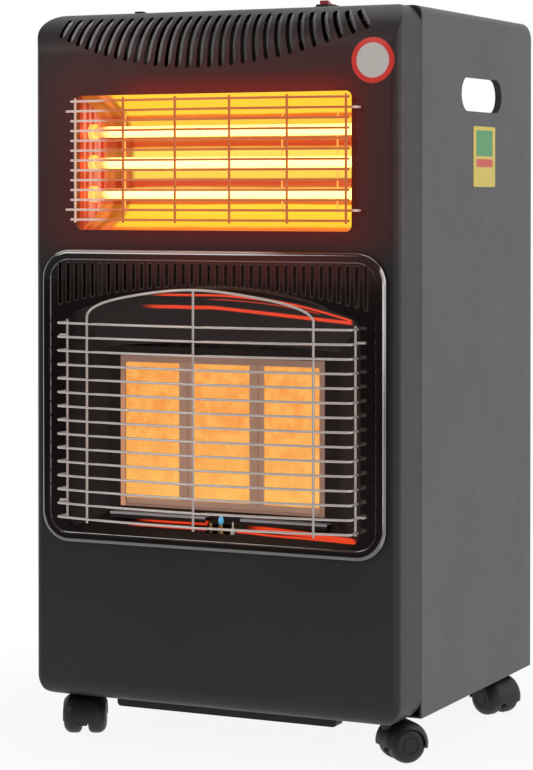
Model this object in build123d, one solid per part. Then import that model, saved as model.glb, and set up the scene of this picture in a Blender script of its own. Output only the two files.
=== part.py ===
"""Portable gas cabinet heater with an added electric quartz heater.

A pressed steel cabinet on four twin-wheel castors.  The upper window holds three quartz
tubes in front of a polished reflector, the lower window holds three ceramic burner
plaques, and each window has its own wire guard.  A gas bottle stands in the bay behind
the burner, under a cover that pulls off the back.

+Z is up, the front faces -Y and +X is to the right when seen from the front.  The origin
is the middle of the bottom of the bounding box.  All sizes are millimetres.
"""

from math import cos, radians, sin, sqrt
import os

from build123d import *

# ---------------------------------------------------------------- cabinet
WIDTH = 394.0
DEPTH = 370.0
BODY_HEIGHT = 682.0
GROUND_GAP = 42.0
SHEET = 1.2
GUARD_REACH = 40.0
COVER_BULGE = 14.0

FLOOR = GROUND_GAP
TOP = GROUND_GAP + BODY_HEIGHT
HALF_W = WIDTH / 2
FRONT = (GUARD_REACH - DEPTH - COVER_BULGE) / 2
BACK = FRONT + DEPTH

SEAM = 57.0
SEAM_GAP = 1.0
EDGE_R = 8.0
TOP_FRONT_R = 42.0
BOTTOM_FRONT_R = 18.0
LOW_CORNER_R = 20.0
HIGH_CORNER_R = 18.0
REAR_CORNER_R = 18.0
FLANGE = 20.0
TOP_TURN_DOWN = 44.0

# ---------------------------------------------------------------- louvres over the top edge
LOUVRES = 29
LOUVRE_WIDTH = 4.4
LOUVRE_TOP_Z = TOP - 6.2
LOUVRE_LOW_Z = 666.0
LOUVRE_RISE = 33.2
LOUVRE_TOP_CENTRE = -9.2
LOUVRE_TOP_HALF = 157.2
LOUVRE_CENTRE = -13.6
LOUVRE_HALF_SPAN = 167.0
LOUVRE_LEAN = 11.0

# ---------------------------------------------------------------- upper window and electric heater
WIN_HALF = 149.3
WIN_LOW = 508.3
WIN_HIGH = 641.1
WIN_R = 6.0
LIP_DEPTH = 8.0
TUBES = 3
TUBE_PITCH = 31.0
TUBE_R = 5.5
TUBE_Y = 34.0
REFLECTOR_HALF = 151.0
REFLECTOR_SHEET = 0.8
CAP_R = 8.0
FILAMENT_R = 2.0

# ---------------------------------------------------------------- lower window frame
BEZEL_HALF = 186.0
BEZEL_LOW = 197.5
BEZEL_HIGH = 489.0
BEZEL_R = 30.0
BEZEL_RISE = 6.0
RIM_WIDTH = 9.0
OPENING_HALF = 160.0
OPENING_LOW = 209.0
OPENING_SIDE_HIGH = 425.0
OPENING_MID_HIGH = 449.0
OPENING_R = 18.0
SLOTS = 37
SLOT_PITCH = 9.2
SLOT_WIDTH = 3.6
SLOT_TOP = 476.0
SLOT_MID_LOW = 455.0
SLOT_DROP = 20.5

# ---------------------------------------------------------------- burner
PLAQUES = ("plaque_left", "plaque_centre", "plaque_right")
PLAQUE_W = 61.5
PLAQUE_PITCH = 77.0
PLAQUE_LOW = 242.4
PLAQUE_HIGH = 377.1
PLAQUE_Y = 24.0
PLAQUE_THICK = 12.5
PLAQUE_LAP = 2.0
BURNER_HALF = 112.0
BURNER_LOW = 230.4
BURNER_HIGH = 384.3
BOX_DEPTH = 42.0
MIXER_R = 11.0
MIXER_Y = 62.0
MANIFOLD_Z = 186.0
PILOT_X = 5.0
PILOT_Z = 210.5

# ---------------------------------------------------------------- wire guards
WIRE_R = 1.2
WELD = 0.5
UPPER_WIRES = 13
UPPER_LOW = 518.6
UPPER_HIGH = 635.2
UPPER_HALF = 150.5
UPPER_LONG_HALF = 157.5
UPPER_REACH = 8.0
UPPER_BOW = 12.0
UPPER_BARS = (29.3, 88.5, 146.5)
LOWER_WIRES = 15
LOWER_LOW = 225.3
LOWER_HIGH = 416.8
LOWER_HALF = 158.0
LOWER_REACH = 22.0
LOWER_BOW = 16.0
LOWER_FOOT_X = 165.0
BEND_R = 3.5
ARCH_HALF = 122.0
ARCH_SPRING = 423.0
ARCH_HAUNCH = 446.0
ARCH_CROWN = 452.0

# ---------------------------------------------------------------- controls
CONTROL_Y = 84.0
CONSOLE_HALF = 146.0
CONSOLE_DEPTH = 48.0
CONSOLE_RIM = 1.5
KNOB_X = -118.0
KNOB_R = 18.0
KNOB_TOP = 728.3
GRIP_HALF_L = 14.5
GRIP_DISH_R = 30.0
WELL_R = 21.5
WELL_FLOOR = 703.0
PUSH_TRAVEL = 5.0
PLUG_R = 8.0
NOZZLE_R = 4.5
NOZZLE_L = 22.0
NOZZLE_Z = 664.0
NOZZLE_BORE_R = 2.5
VALVE_LOW = 650.0
SPINDLE_R = 3.0
RUNNING_GAP = 0.06
ROCKER_X = 86.5
ROCKER_REST = -9.0
ROCKER_PIVOT_Z = 727.0
ROCKER_W = 9.0
ROCKER_HALF_L = 9.4
BRACKET_HALF = 64.0
BRACKET_LOW = 664.0
BRACKET_HIGH = 705.0

# ---------------------------------------------------------------- bottle bay
SHIELD_Y = 112.0
SHIELD_LOW = 45.0
SHIELD_HIGH = 716.0
COVER_LOW = 82.0
COVER_HIGH = 604.0
COVER_HALF = 187.0
COVER_SHEET = 1.0
GLAND_X = -150.0
PEG_R = 2.5
PEG_X = 183.0
TRAY_FLANGE = 28.0
TRAY_CORNER_R = 9.0
TRAY_NOSE_HALF = 179.0
TRAY_NOSE_Y = 25.0
SEAT_Y = 240.0
SEAT_R = 112.0
SEAT_RISE = 1.2
RAIL_HALF = 120.0
RAIL_Y = 30.5
RAIL_DEPTH = 15.5
RAIL_DROP = 11.5

# ---------------------------------------------------------------- castors
CASTOR_X = 166.0
CASTOR_FRONT_Y = 49.0
CASTOR_REAR_Y = 311.0
WHEEL_R = 18.0
WHEEL_INNER = 3.4
WHEEL_OUTER = 21.3
WHEEL_INNER_SHOULDER = 5.0
WHEEL_OUTER_SHOULDER = 8.5
TRAIL = 14.5
AXLE_R = 2.5
CASTOR_PLATE_HALF = 14.0
CASTOR_PLATE = 2.2
STEM_R = 3.0
STEM_LOW = 33.0
BOSS_R = 5.8
WEB_HALF = 3.0
WEB_LOW = 10.5
HOOD_R = 21.8
HOOD_INNER_R = 19.2
HOOD_HALF = 23.0
HOOD_INNER_HALF = 22.0
HOOD_LIP_R = 15.5
CASTORS = {
    "front_left": (-CASTOR_X, CASTOR_FRONT_Y, -65.0),
    "front_right": (CASTOR_X, CASTOR_FRONT_Y, 47.0),
    "rear_left": (-CASTOR_X, CASTOR_REAR_Y, 200.0),
    "rear_right": (CASTOR_X, CASTOR_REAR_Y, -25.0),
}

# ---------------------------------------------------------------- stickers and screws
BADGE_X = 171.0
BADGE_Z = 669.2
BADGE_R = 21.6
LABEL_Y = 224.0
LABEL_Z = 581.4
LABEL_SIZE = 61.0
STICKER = 0.4
HANDLE_Y = 217.7
HANDLE_Z = 643.5
HANDLE_L = 112.0
HANDLE_H = 34.0
SCREW_R = 1.75
SCREW_HEAD_R = 3.6
SCREW_SPOTS = [(x, z) for x in (-187.0, 187.0) for z in (66.0, 640.0)]
SCREW_SPOTS += [(x, 702.0) for x in (-150.0, -50.0, 50.0, 150.0)]


# ---------------------------------------------------------------- small tools
def box(x0, x1, y0, y1, z0, z1):
    """A block between two corners."""
    centre = Pos((x0 + x1) / 2, (y0 + y1) / 2, (z0 + z1) / 2)
    return centre * Box(abs(x1 - x0), abs(y1 - y0), abs(z1 - z0))


def along_y(shape, y0, y1):
    """A flat X-Z shape carried from y0 back to y1."""
    return extrude(Plane.XZ.offset(-y0) * shape, y0 - y1)


def along_x(shape, x0, x1):
    """A flat Y-Z shape carried from x0 to x1."""
    return extrude(Plane.YZ.offset(x0) * shape, x1 - x0)


def along_z(shape, z0, z1):
    """A flat X-Y shape carried from z0 up to z1."""
    return extrude(Plane.XY.offset(z0) * shape, z1 - z0)


def rod(start, end, radius):
    """A round bar between two points."""
    run = Vector(*end) - Vector(*start)
    return Solid.make_cylinder(radius, run.length, Plane(origin=start, z_dir=run))


def wire(path, radius=WIRE_R, transition=Transition.TRANSFORMED):
    """A round wire bent along a path."""
    start = Plane(origin=path @ 0, z_dir=path % 0)
    return sweep(start * Circle(radius), path=path, transition=transition)


def rounded(x0, x1, z0, z1, radius):
    """A rounded rectangle between two corners."""
    flat = RectangleRounded(x1 - x0, z1 - z0, radius)
    return Pos((x0 + x1) / 2, (z0 + z1) / 2) * flat


def mirrored(shape):
    """The same shape on the other side of the cabinet's middle."""
    return shape.mirror(Plane.YZ)


def save(name, *solids):
    """Write one sub-part as a STEP file of separate closed solids."""
    pieces = [piece for solid in solids for piece in solid.solids()]
    shape = pieces[0] if len(pieces) == 1 else Compound(children=pieces)
    shape.label = name
    export_step(shape, f"parts/{name}.step")


# ---------------------------------------------------------------- cabinet shell
def front_block(inset):
    """The front pressing as a full block, its faces moved in by a wall thickness."""
    half = HALF_W - inset
    low, high = FLOOR + inset, TOP - inset
    outline = Pos(0, (low + high) / 2) * Rectangle(2 * half, high - low)
    outline = fillet(outline.vertices().group_by(Axis.Y)[0], LOW_CORNER_R - inset)
    outline = fillet(outline.vertices().group_by(Axis.Y)[-1], HIGH_CORNER_R - inset)
    block = along_y(outline, FRONT + inset, FRONT + SEAM + inset)
    rim = block.faces().sort_by(Axis.Y)[0].edges()
    block = fillet(rim, EDGE_R - inset)
    y0, y1 = FRONT + inset, FRONT + SEAM + 4 * inset + 1
    side = Pos((y0 + y1) / 2, (low + high) / 2) * Rectangle(y1 - y0, high - low)
    corners = side.vertices().group_by(Axis.X)[0].sort_by(Axis.Y)
    side = fillet(corners[0], BOTTOM_FRONT_R - inset)
    corners = side.vertices().group_by(Axis.Y)[-1].sort_by(Axis.X)
    side = fillet(corners[0], TOP_FRONT_R - inset)
    return block & along_x(side, -HALF_W, HALF_W)


def louvre_cutters():
    """Slanting slots that fan out over the rounded top edge."""
    cutters = []
    for index in range(LOUVRES):
        t = 2 * index / (LOUVRES - 1) - 1
        low_x = LOUVRE_CENTRE + LOUVRE_HALF_SPAN * t + LOUVRE_LEAN * t * t
        top_x = LOUVRE_TOP_CENTRE + LOUVRE_TOP_HALF * (0.94 * t + 0.06 * t**3)
        low = Vector(low_x, LOUVRE_LOW_Z + LOUVRE_RISE * t * t)
        top = Vector(top_x, LOUVRE_TOP_Z)
        middle = (low + top) / 2
        run = top - low
        slot = SlotOverall(run.length, LOUVRE_WIDTH)
        angle = Vector(1, 0).get_signed_angle(run, Vector(0, 0, 1))
        slot = Pos(middle.X, middle.Y) * Rot(0, 0, angle) * slot
        cutters.append(along_y(slot, FRONT - 5, FRONT + 28))
    return cutters


def bezel_outline(inset):
    return rounded(-BEZEL_HALF + inset, BEZEL_HALF - inset, BEZEL_LOW + inset,
                   BEZEL_HIGH - inset, BEZEL_R - inset)


def front_panel():
    """Pressed front with both windows, rounded edges and the louvres."""
    shell = front_block(0) - front_block(SHEET)
    lip = rounded(-WIN_HALF - SHEET, WIN_HALF + SHEET, WIN_LOW - SHEET,
                  WIN_HIGH + SHEET, WIN_R + SHEET)
    shell += along_y(lip, FRONT, FRONT + LIP_DEPTH)
    hole = rounded(-WIN_HALF, WIN_HALF, WIN_LOW, WIN_HIGH, WIN_R)
    shell -= along_y(hole, FRONT - 1, FRONT + LIP_DEPTH + 1)
    shell -= along_y(bezel_outline(8), FRONT - 1, FRONT + 5)
    edge = FRONT + SEAM
    flange = Pos(0, (90 + TOP) / 2) * Rectangle(2 * HALF_W, TOP - 90)
    flange = fillet(flange.vertices().group_by(Axis.Y)[-1], EDGE_R)
    flange = along_y(flange, edge - SHEET, edge)
    inside = box(-HALF_W + 12, HALF_W - 12, edge - 5, edge + 5, 80, TOP - 12)
    shell += flange - inside
    nose = TRAY_NOSE_HALF + 1
    shell -= box(-nose, nose, FRONT + TRAY_NOSE_Y - 2, edge + 1, 0, FLOOR + 9)
    for cutter in louvre_cutters():
        shell -= cutter
    hook_rows = (UPPER_LOW + upper_pitch(), UPPER_HIGH - upper_pitch())
    for x in (-UPPER_LONG_HALF, UPPER_LONG_HALF):
        for z in hook_rows:
            shell -= rod((x, FRONT - 2, z), (x, FRONT + 4, z), WIRE_R + 0.3)
    return shell


def shell_block(inset):
    """Sides and top as a full block, its faces moved in by a wall thickness."""
    half = HALF_W - inset
    y0, y1 = FRONT + 20, BACK - inset
    low, high = FLOOR + inset, TOP - inset
    side = Pos((y0 + y1) / 2, (low + high) / 2) * Rectangle(y1 - y0, high - low)
    corner = side.vertices().group_by(Axis.X)[-1].sort_by(Axis.Y)[-1]
    side = fillet(corner, REAR_CORNER_R - inset)
    block = along_x(side, -half, half)
    edges = []
    for face in (block.faces().sort_by(Axis.X)[0], block.faces().sort_by(Axis.X)[-1]):
        for edge in face.edges():
            middle = edge @ 0.5
            if middle.Z > low + 1 and middle.Y > y0 + 1:
                edges.append(edge)
    return fillet(edges, EDGE_R - inset)


def cabinet_shell():
    """Sides and top in one, open at the front, at the back and underneath."""
    shell = shell_block(0) - shell_block(SHEET)
    start = FRONT + SEAM + SEAM_GAP
    shell -= box(-HALF_W, HALF_W, FRONT, start, 0, TOP + 1)
    split = HALF_W - FLANGE
    shell -= box(-split, split, FRONT, BACK + 1, 0, TOP - TOP_TURN_DOWN)
    for x, z in SCREW_SPOTS:
        shell -= rod((x, BACK - 5, z), (x, BACK + 1, z), SCREW_R)
    return shell


def handle_slot(grow):
    slot = SlotOverall(HANDLE_L + 2 * grow, HANDLE_H + 2 * grow)
    return Pos(FRONT + HANDLE_Y, HANDLE_Z) * slot


def right_side_panel(shell):
    """Side sheet with a rolled top, a rear flange and a lipped hand hole."""
    split = HALF_W - FLANGE
    side = shell & box(split, HALF_W, FRONT, BACK, 0, TOP)
    side -= box(split - 1, CASTOR_X + 16, FRONT, BACK - SHEET, FLOOR - 1, FLOOR + SHEET)
    side += along_x(handle_slot(SHEET), HALF_W - 7, HALF_W)
    side -= along_x(handle_slot(0), HALF_W - 10, HALF_W + 1)
    for z in peg_heights():
        hole = rod((PEG_X, BACK - 4, z), (PEG_X, BACK + 1, z), PEG_R + RUNNING_GAP)
        side -= hole
    return side


def console_block(grow, z0, z1):
    """A flat block under the controls, grown sideways by a margin."""
    flat = RectangleRounded(2 * (CONSOLE_HALF + grow), CONSOLE_DEPTH + 2 * grow, 4)
    return along_z(Pos(0, FRONT + CONTROL_Y) * flat, z0, z1)


def top_panel(shell):
    """Top sheet turned down at the back, cut out for the controls."""
    split = HALF_W - FLANGE
    top = shell & box(-split, split, FRONT, BACK, 0, TOP)
    return top - console_block(0.3, TOP - 20, TOP + 5)


def base_tray():
    """Folded floor with a raised round seat for the bottle, carried by the castors."""
    y0, y1 = FRONT + SEAM, BACK - SHEET
    half = HALF_W - SHEET
    z0 = FLOOR + SHEET
    outer = box(-half, half, y0, y1, z0, z0 + TRAY_FLANGE)
    rear_corners = outer.edges().filter_by(Axis.Z).group_by(Axis.Y)[-1]
    outer = fillet(rear_corners, TRAY_CORNER_R)
    inner = box(-half + SHEET, half - SHEET, y0 - 1, y1 - SHEET, z0 + SHEET, z0 + 60)
    rear_corners = inner.edges().filter_by(Axis.Z).group_by(Axis.Y)[-1]
    tray = outer - fillet(rear_corners, TRAY_CORNER_R - SHEET)
    tray += box(-TRAY_NOSE_HALF, TRAY_NOSE_HALF, FRONT + TRAY_NOSE_Y, y0 + 1, z0, z0 + SHEET)
    tray += box(-RAIL_HALF, RAIL_HALF, FRONT + TRAY_NOSE_Y, FRONT + TRAY_NOSE_Y + SHEET,
                z0, z0 + 12)
    seat_y = FRONT + SEAT_Y
    tray += rod((0, seat_y, z0 + SHEET), (0, seat_y, z0 + SHEET + SEAT_RISE), SEAT_R)
    tray -= rod((0, seat_y, z0 - 1), (0, seat_y, z0 + SEAT_RISE), SEAT_R - SHEET)
    tray -= rod((GLAND_X, y1 - 5, z0 + 16), (GLAND_X, y1 + 5, z0 + 16), 6.0)
    for x in (-138, 138):
        for y in (150, 210, 270):
            tray -= rod((x, FRONT + y, z0 - 1), (x, FRONT + y, z0 + 5), 2.5)
    for x, z in SCREW_SPOTS:
        if z < FLOOR + TRAY_FLANGE:
            tray -= rod((x, BACK - 5, z), (x, BACK + 1, z), SCREW_R)
    return tray


def base_rail():
    """Black skid rail under the front edge of the floor."""
    low, high = FLOOR + SHEET - RAIL_DROP, FLOOR + SHEET
    flat = Pos(0, (low + high) / 2) * Rectangle(2 * RAIL_HALF, high - low)
    flat = fillet(flat.vertices().group_by(Axis.Y)[0], 4)
    return along_y(flat, FRONT + RAIL_Y, FRONT + RAIL_Y + RAIL_DEPTH)


def heat_shield():
    """Sheet between the hot side and the bottle, folded at both edges."""
    half = HALF_W - SHEET
    sheet = box(-half, half, FRONT + SHIELD_Y, FRONT + SHIELD_Y + 1.0, SHIELD_LOW + 28, SHIELD_HIGH)
    for side in (-1, 1):
        x0 = side * half
        sheet += box(x0, x0 - side, FRONT + SHIELD_Y, FRONT + SHIELD_Y + 14, 90, SHIELD_HIGH - 8)
    low = box(-half + SHEET, half - SHEET, FRONT + SHIELD_Y, FRONT + SHIELD_Y + 1.0,
              FLOOR + 2 * SHEET, SHIELD_LOW + 28)
    sheet += low
    nozzle = rod((KNOB_X, FRONT + 90, NOZZLE_Z), (KNOB_X, FRONT + 130, NOZZLE_Z), NOZZLE_R + 1.0)
    return sheet - nozzle


# ---------------------------------------------------------------- electric heater
def tube_heights():
    middle = (WIN_LOW + WIN_HIGH) / 2
    return [middle + TUBE_PITCH * (index - (TUBES - 1) / 2) for index in range(TUBES)]


def reflector_profile(grow):
    """Open trapezium behind the window, front edge first."""
    low, high = WIN_LOW - 2.0 - grow, WIN_HIGH + 2.0 + grow
    points = [(10.5, low), (44, low + 17), (61 + grow, low + 38), (61 + grow, high - 38),
              (44, high - 17), (10.5, high)]
    return [(FRONT + y, z) for y, z in points]


def upper_reflector():
    """Bent stainless trough behind the quartz tubes."""
    outer = make_face(Polyline(*reflector_profile(REFLECTOR_SHEET), close=True))
    inner = make_face(Polyline(*reflector_profile(0), close=True))
    trough = along_x(outer, -REFLECTOR_HALF, REFLECTOR_HALF)
    trough -= along_x(inner, -REFLECTOR_HALF, REFLECTOR_HALF)
    for sign, edge in ((-1, WIN_LOW - 2.8), (1, WIN_HIGH + 2.8)):
        trough += box(-REFLECTOR_HALF, REFLECTOR_HALF, FRONT + LIP_DEPTH + 2.5,
                      FRONT + LIP_DEPTH + 3.3, edge - sign * 0.4, edge + sign * 12)
    return trough


def reflector_end(side):
    """End plate that closes the trough and carries three tube caps."""
    face = make_face(Polyline(*reflector_profile(REFLECTOR_SHEET), close=True))
    x0 = side * REFLECTOR_HALF
    plate = along_x(face, min(x0, x0 + side), max(x0, x0 + side))
    for z in tube_heights():
        plate -= rod((x0 - 5, FRONT + TUBE_Y, z), (x0 + 5, FRONT + TUBE_Y, z), CAP_R)
    return plate


def tube_cap(side, z):
    """Ceramic cap that holds one end of a quartz tube."""
    y = FRONT + TUBE_Y
    cap = rod((side * 146, y, z), (side * 160, y, z), CAP_R)
    return cap - rod((side * 145, y, z), (side * 155, y, z), TUBE_R)


def quartz_tube(z):
    y = FRONT + TUBE_Y
    tube = rod((-155, y, z), (155, y, z), TUBE_R)
    return tube - rod((-156, y, z), (156, y, z), TUBE_R - 1.0)


def filament(z):
    y = FRONT + TUBE_Y
    return rod((-155, y, z), (155, y, z), FILAMENT_R)


# ---------------------------------------------------------------- gas heater
def opening_outline(grow):
    """Arched window of the lower frame."""
    half = OPENING_HALF + grow
    low = OPENING_LOW - grow
    side_high, mid_high = OPENING_SIDE_HIGH + grow, OPENING_MID_HIGH + grow
    base = Line((-half, low), (half, low))
    right = Line((half, low), (half, side_high))
    arch = ThreePointArc((half, side_high), (0, mid_high), (-half, side_high))
    left = Line((-half, side_high), (-half, low))
    outline = make_face(base + right + arch + left)
    return fillet(outline.vertices(), OPENING_R + grow)


def lower_bezel():
    """Enamelled frame with a rolled rim, vent slots and the arched window."""
    block = along_y(bezel_outline(0), FRONT - BEZEL_RISE, FRONT)
    block = fillet(block.faces().sort_by(Axis.Y)[0].edges(), 4.5)
    pocket = along_y(bezel_outline(RIM_WIDTH), FRONT - BEZEL_RISE - 1, FRONT - 3.5)
    pocket_floor = pocket.faces().sort_by(Axis.Y)[-1].edges()
    block -= fillet(pocket_floor, 2.0)
    block -= along_y(bezel_outline(9.5), FRONT - 1.7, FRONT + 1)
    block += along_y(opening_outline(SHEET), FRONT - 3.5, FRONT + 2.5)
    block -= along_y(opening_outline(0), FRONT - 10, FRONT + 3)
    for index in range(SLOTS):
        x = SLOT_PITCH * (index - (SLOTS - 1) / 2)
        low = SLOT_MID_LOW - SLOT_DROP * (x / (SLOT_PITCH * (SLOTS - 1) / 2)) ** 2
        length = SLOT_TOP - low
        slot = Pos(x, low + length / 2) * Rot(0, 0, 90) * SlotOverall(length, SLOT_WIDTH)
        block -= along_y(slot, FRONT - 10, FRONT + 3)
    for x, z in guard_feet():
        block -= rod((x, FRONT - 8, z), (x, FRONT + 2, z), WIRE_R + 0.2)
    return block


def burner_hood():
    """Tapered enamelled throat from the arched window back to the burner."""
    y0, y1 = FRONT + 2.5, FRONT + PLAQUE_Y - 1.6

    def throat(grow):
        front = opening_section(OPENING_HALF + grow, OPENING_LOW - grow,
                                OPENING_SIDE_HIGH + grow, OPENING_MID_HIGH + grow, y0)
        rear = opening_section(BURNER_HALF + 14 + grow, BURNER_LOW - 4 - grow,
                               BURNER_HIGH + 8 + grow, BURNER_HIGH + 14 + grow, y1)
        return loft([front, rear], ruled=True)

    hood = throat(1.0) - throat(0)
    outer = rounded(-BURNER_HALF - 15, BURNER_HALF + 15, BURNER_LOW - 5, BURNER_HIGH + 9, 4)
    inner = rounded(-BURNER_HALF + 6, BURNER_HALF - 6, BURNER_LOW + 6, BURNER_HIGH - 6, 4)
    floor = along_y(outer, y1, y1 + 1.0) - along_y(inner, y1 - 1, y1 + 2)
    slot = box(PILOT_X - 15, PILOT_X + 18, FRONT + 8, FRONT + 18, 200, 226)
    return hood + floor - slot


def opening_section(half, low, side_high, mid_high, y):
    """One cross-section of the throat, with an arched top."""
    base = Line((-half, low), (half, low))
    right = Line((half, low), (half, side_high))
    arch = ThreePointArc((half, side_high), (0, mid_high), (-half, side_high))
    left = Line((-half, side_high), (-half, low))
    return Plane.XZ.offset(-y) * make_face(base + right + arch + left)


def plaque_x(index):
    return PLAQUE_PITCH * (index - 1)


def burner_frame():
    """Stainless front frame with one window for each plaque."""
    y1 = FRONT + PLAQUE_Y
    plate = along_y(rounded(-BURNER_HALF, BURNER_HALF, BURNER_LOW, BURNER_HIGH, 3),
                    y1 - 0.6, y1 + PLAQUE_THICK)
    hollow = along_y(rounded(-BURNER_HALF + 1, BURNER_HALF - 1, BURNER_LOW + 1,
                             BURNER_HIGH - 1, 2), y1 + 0.6, y1 + PLAQUE_THICK + 1)
    plate -= hollow
    for index in range(3):
        x = plaque_x(index)
        window = box(x - PLAQUE_W / 2, x + PLAQUE_W / 2, y1 - 2, y1 + 2,
                     PLAQUE_LOW, PLAQUE_HIGH)
        plate -= window
    for x in (-PLAQUE_PITCH / 2, PLAQUE_PITCH / 2):
        plate += box(x - 1.5, x + 1.5, y1 - 2.2, y1 - 0.6, PLAQUE_LOW - 1, PLAQUE_HIGH + 1)
    return plate


def plaque(index):
    """Ceramic burner tile behind its window."""
    x = plaque_x(index)
    half = PLAQUE_W / 2 + PLAQUE_LAP
    y0 = FRONT + PLAQUE_Y + 0.6
    return box(x - half, x + half, y0, y0 + PLAQUE_THICK - 0.6,
               PLAQUE_LOW - PLAQUE_LAP, PLAQUE_HIGH + PLAQUE_LAP)


def burner_box():
    """Closed chamber that feeds mixed gas to the back of the plaques."""
    y0 = FRONT + PLAQUE_Y + PLAQUE_THICK
    outer = box(-BURNER_HALF, BURNER_HALF, y0, y0 + BOX_DEPTH, BURNER_LOW, BURNER_HIGH)
    outer = fillet(outer.edges().filter_by(Axis.Y), 3)
    chamber = outer
    for index in range(3):
        x = plaque_x(index)
        half = PLAQUE_W / 2 - 1
        chamber -= box(x - half, x + half, y0 - 1, y0 + BOX_DEPTH - 1.2,
                       PLAQUE_LOW + 2, PLAQUE_HIGH - 2)
        chamber -= rod((x, FRONT + MIXER_Y, BURNER_LOW - 1),
                       (x, FRONT + MIXER_Y, PLAQUE_LOW + 4), MIXER_R)
    return chamber


def mixing_tube(x):
    """Air and gas mixing tube with a flared mouth."""
    y = FRONT + MIXER_Y
    low, high = MANIFOLD_Z + 20, PLAQUE_LOW + 2
    tube = rod((x, y, low), (x, y, high), MIXER_R)
    tube += Pos(x, y, low + 4) * Cone(MIXER_R + 4, MIXER_R, 8)
    bore = rod((x, y, low - 1), (x, y, high + 1), MIXER_R - 1.2)
    mouth = Pos(x, y, low + 3.4) * Cone(MIXER_R + 2.8, MIXER_R - 1.2, 8)
    return tube - bore - mouth


def gas_manifold():
    """Gas rail under the burner with one injector for each tube."""
    y = FRONT + MIXER_Y
    rail = box(-BURNER_HALF, BURNER_HALF, y - 6, y + 6, MANIFOLD_Z - 6, MANIFOLD_Z + 6)
    for index in range(3):
        x = plaque_x(index)
        rail += along_z(Pos(x, y) * RegularPolygon(5, 6), MANIFOLD_Z + 6, MANIFOLD_Z + 12)
        rail += Pos(x, y, MANIFOLD_Z + 14.5) * Cone(3.5, 2.0, 5)
    for side in (-1, 1):
        bracket = box(side * 96, side * 108, y + 6, FRONT + SHIELD_Y, MANIFOLD_Z - 6,
                      MANIFOLD_Z - 4.5)
        rail += bracket
    return rail - rod((-BURNER_HALF - 1, y, MANIFOLD_Z), (-BURNER_HALF + 10, y, MANIFOLD_Z), 4)


def hood_lips():
    """Two narrow stainless deflectors along the foot of the throat."""
    lips = []
    back = FRONT + PLAQUE_Y - 1.6
    for x0, x1 in ((-118.0, -12.0), (26.0, 118.0)):
        lip = box(x0, x1, back - 9, back, BURNER_LOW - 2.4, BURNER_LOW - 1.4)
        lip += box(x0, x1, back - 10, back - 9, BURNER_LOW - 7.5, BURNER_LOW - 1.4)
        lips.append(lip)
    return lips


def pilot_burner():
    """Small brass pilot head on a bracket under the burner box."""
    y = FRONT + 13
    bracket = box(-14, 25, y - 6, FRONT + 45, PILOT_Z, PILOT_Z + 1.2)
    bracket += box(-14, 25, FRONT + 43.8, FRONT + 45, PILOT_Z, BURNER_LOW)
    pilot = bracket + rod((PILOT_X, y, PILOT_Z - 3), (PILOT_X, y, PILOT_Z + 9), 3.5)
    pilot += rod((PILOT_X, y, PILOT_Z + 9), (PILOT_X, y, PILOT_Z + 12), 2.4)
    for x, radius in ((PILOT_X + 13, 2.6), (PILOT_X - 11, 1.6)):
        pilot -= rod((x, y, PILOT_Z - 1), (x, y, PILOT_Z + 3), radius)
    return pilot


def spark_electrode():
    """Ceramic-sleeved spark needle beside the pilot."""
    x, y = PILOT_X + 13, FRONT + 13
    sleeve = rod((x, y, PILOT_Z - 6), (x, y, PILOT_Z + 9), 2.6)
    return sleeve + rod((x, y, PILOT_Z + 8), (x, y, PILOT_Z + 15), 0.8)


def thermocouple():
    """Flame sensor beside the pilot."""
    x, y = PILOT_X - 11, FRONT + 13
    sensor = rod((x, y, PILOT_Z - 7), (x, y, PILOT_Z + 13), 1.6)
    return sensor + rod((x, y, PILOT_Z - 7), (x, y, PILOT_Z - 1), 3)


# ---------------------------------------------------------------- wire guards
def upper_pitch():
    return (UPPER_HIGH - UPPER_LOW) / (UPPER_WIRES - 1)


def bow(x, half, reach, depth):
    """How far the bowed face of a guard stands at x, as a Y position."""
    radius = (half * half + depth * depth) / (2 * depth)
    return FRONT - reach - depth + radius - sqrt(radius * radius - x * x)


def staple(half, reach, depth, tail, z):
    """Path of one bowed wire whose ends turn back to a tail, with rounded bends."""
    radius = (half * half + depth * depth) / (2 * depth)
    centre_y = FRONT - reach - depth + radius
    inner_x = half - BEND_R
    inner_y = centre_y - sqrt((radius - BEND_R) ** 2 - inner_x**2)
    scale = radius / (radius - BEND_R)
    join = (inner_x * scale, centre_y + (inner_y - centre_y) * scale)
    turn = Vector(join[0] - inner_x + BEND_R, join[1] - inner_y).normalized() * BEND_R
    middle = (inner_x + turn.X, inner_y + turn.Y)
    path = Line((-half, tail, z), (-half, inner_y, z))
    path += ThreePointArc((-half, inner_y, z), (-middle[0], middle[1], z), (-join[0], join[1], z))
    path += ThreePointArc((-join[0], join[1], z), (0, FRONT - reach - depth, z), (*join, z))
    path += ThreePointArc((*join, z), (*middle, z), (half, inner_y, z))
    return path + Line((half, inner_y, z), (half, tail, z))


def upper_guard():
    """Flat wire guard, hooked into the front panel at four points."""
    solids = []

    def face(x):
        return bow(x, UPPER_HALF, UPPER_REACH, UPPER_BOW)

    for index in range(UPPER_WIRES):
        z = UPPER_LOW + index * upper_pitch()
        if index in (1, UPPER_WIRES - 2):
            path = staple(UPPER_LONG_HALF, UPPER_REACH - 1.2, UPPER_BOW + 1.2, FRONT + 5, z)
        else:
            path = ThreePointArc((-UPPER_HALF, face(UPPER_HALF), z), (0, face(0), z),
                                 (UPPER_HALF, face(UPPER_HALF), z))
        solids.append(wire(path))
    behind = 2 * WIRE_R - WELD
    for x in UPPER_BARS:
        for side in (-1, 1):
            y = face(x) + behind
            bar = rod((side * x, y, UPPER_LOW - 3), (side * x, y, UPPER_HIGH + 3), WIRE_R)
            solids.append(bar)
    return solids[0].fuse(*solids[1:])


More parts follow.
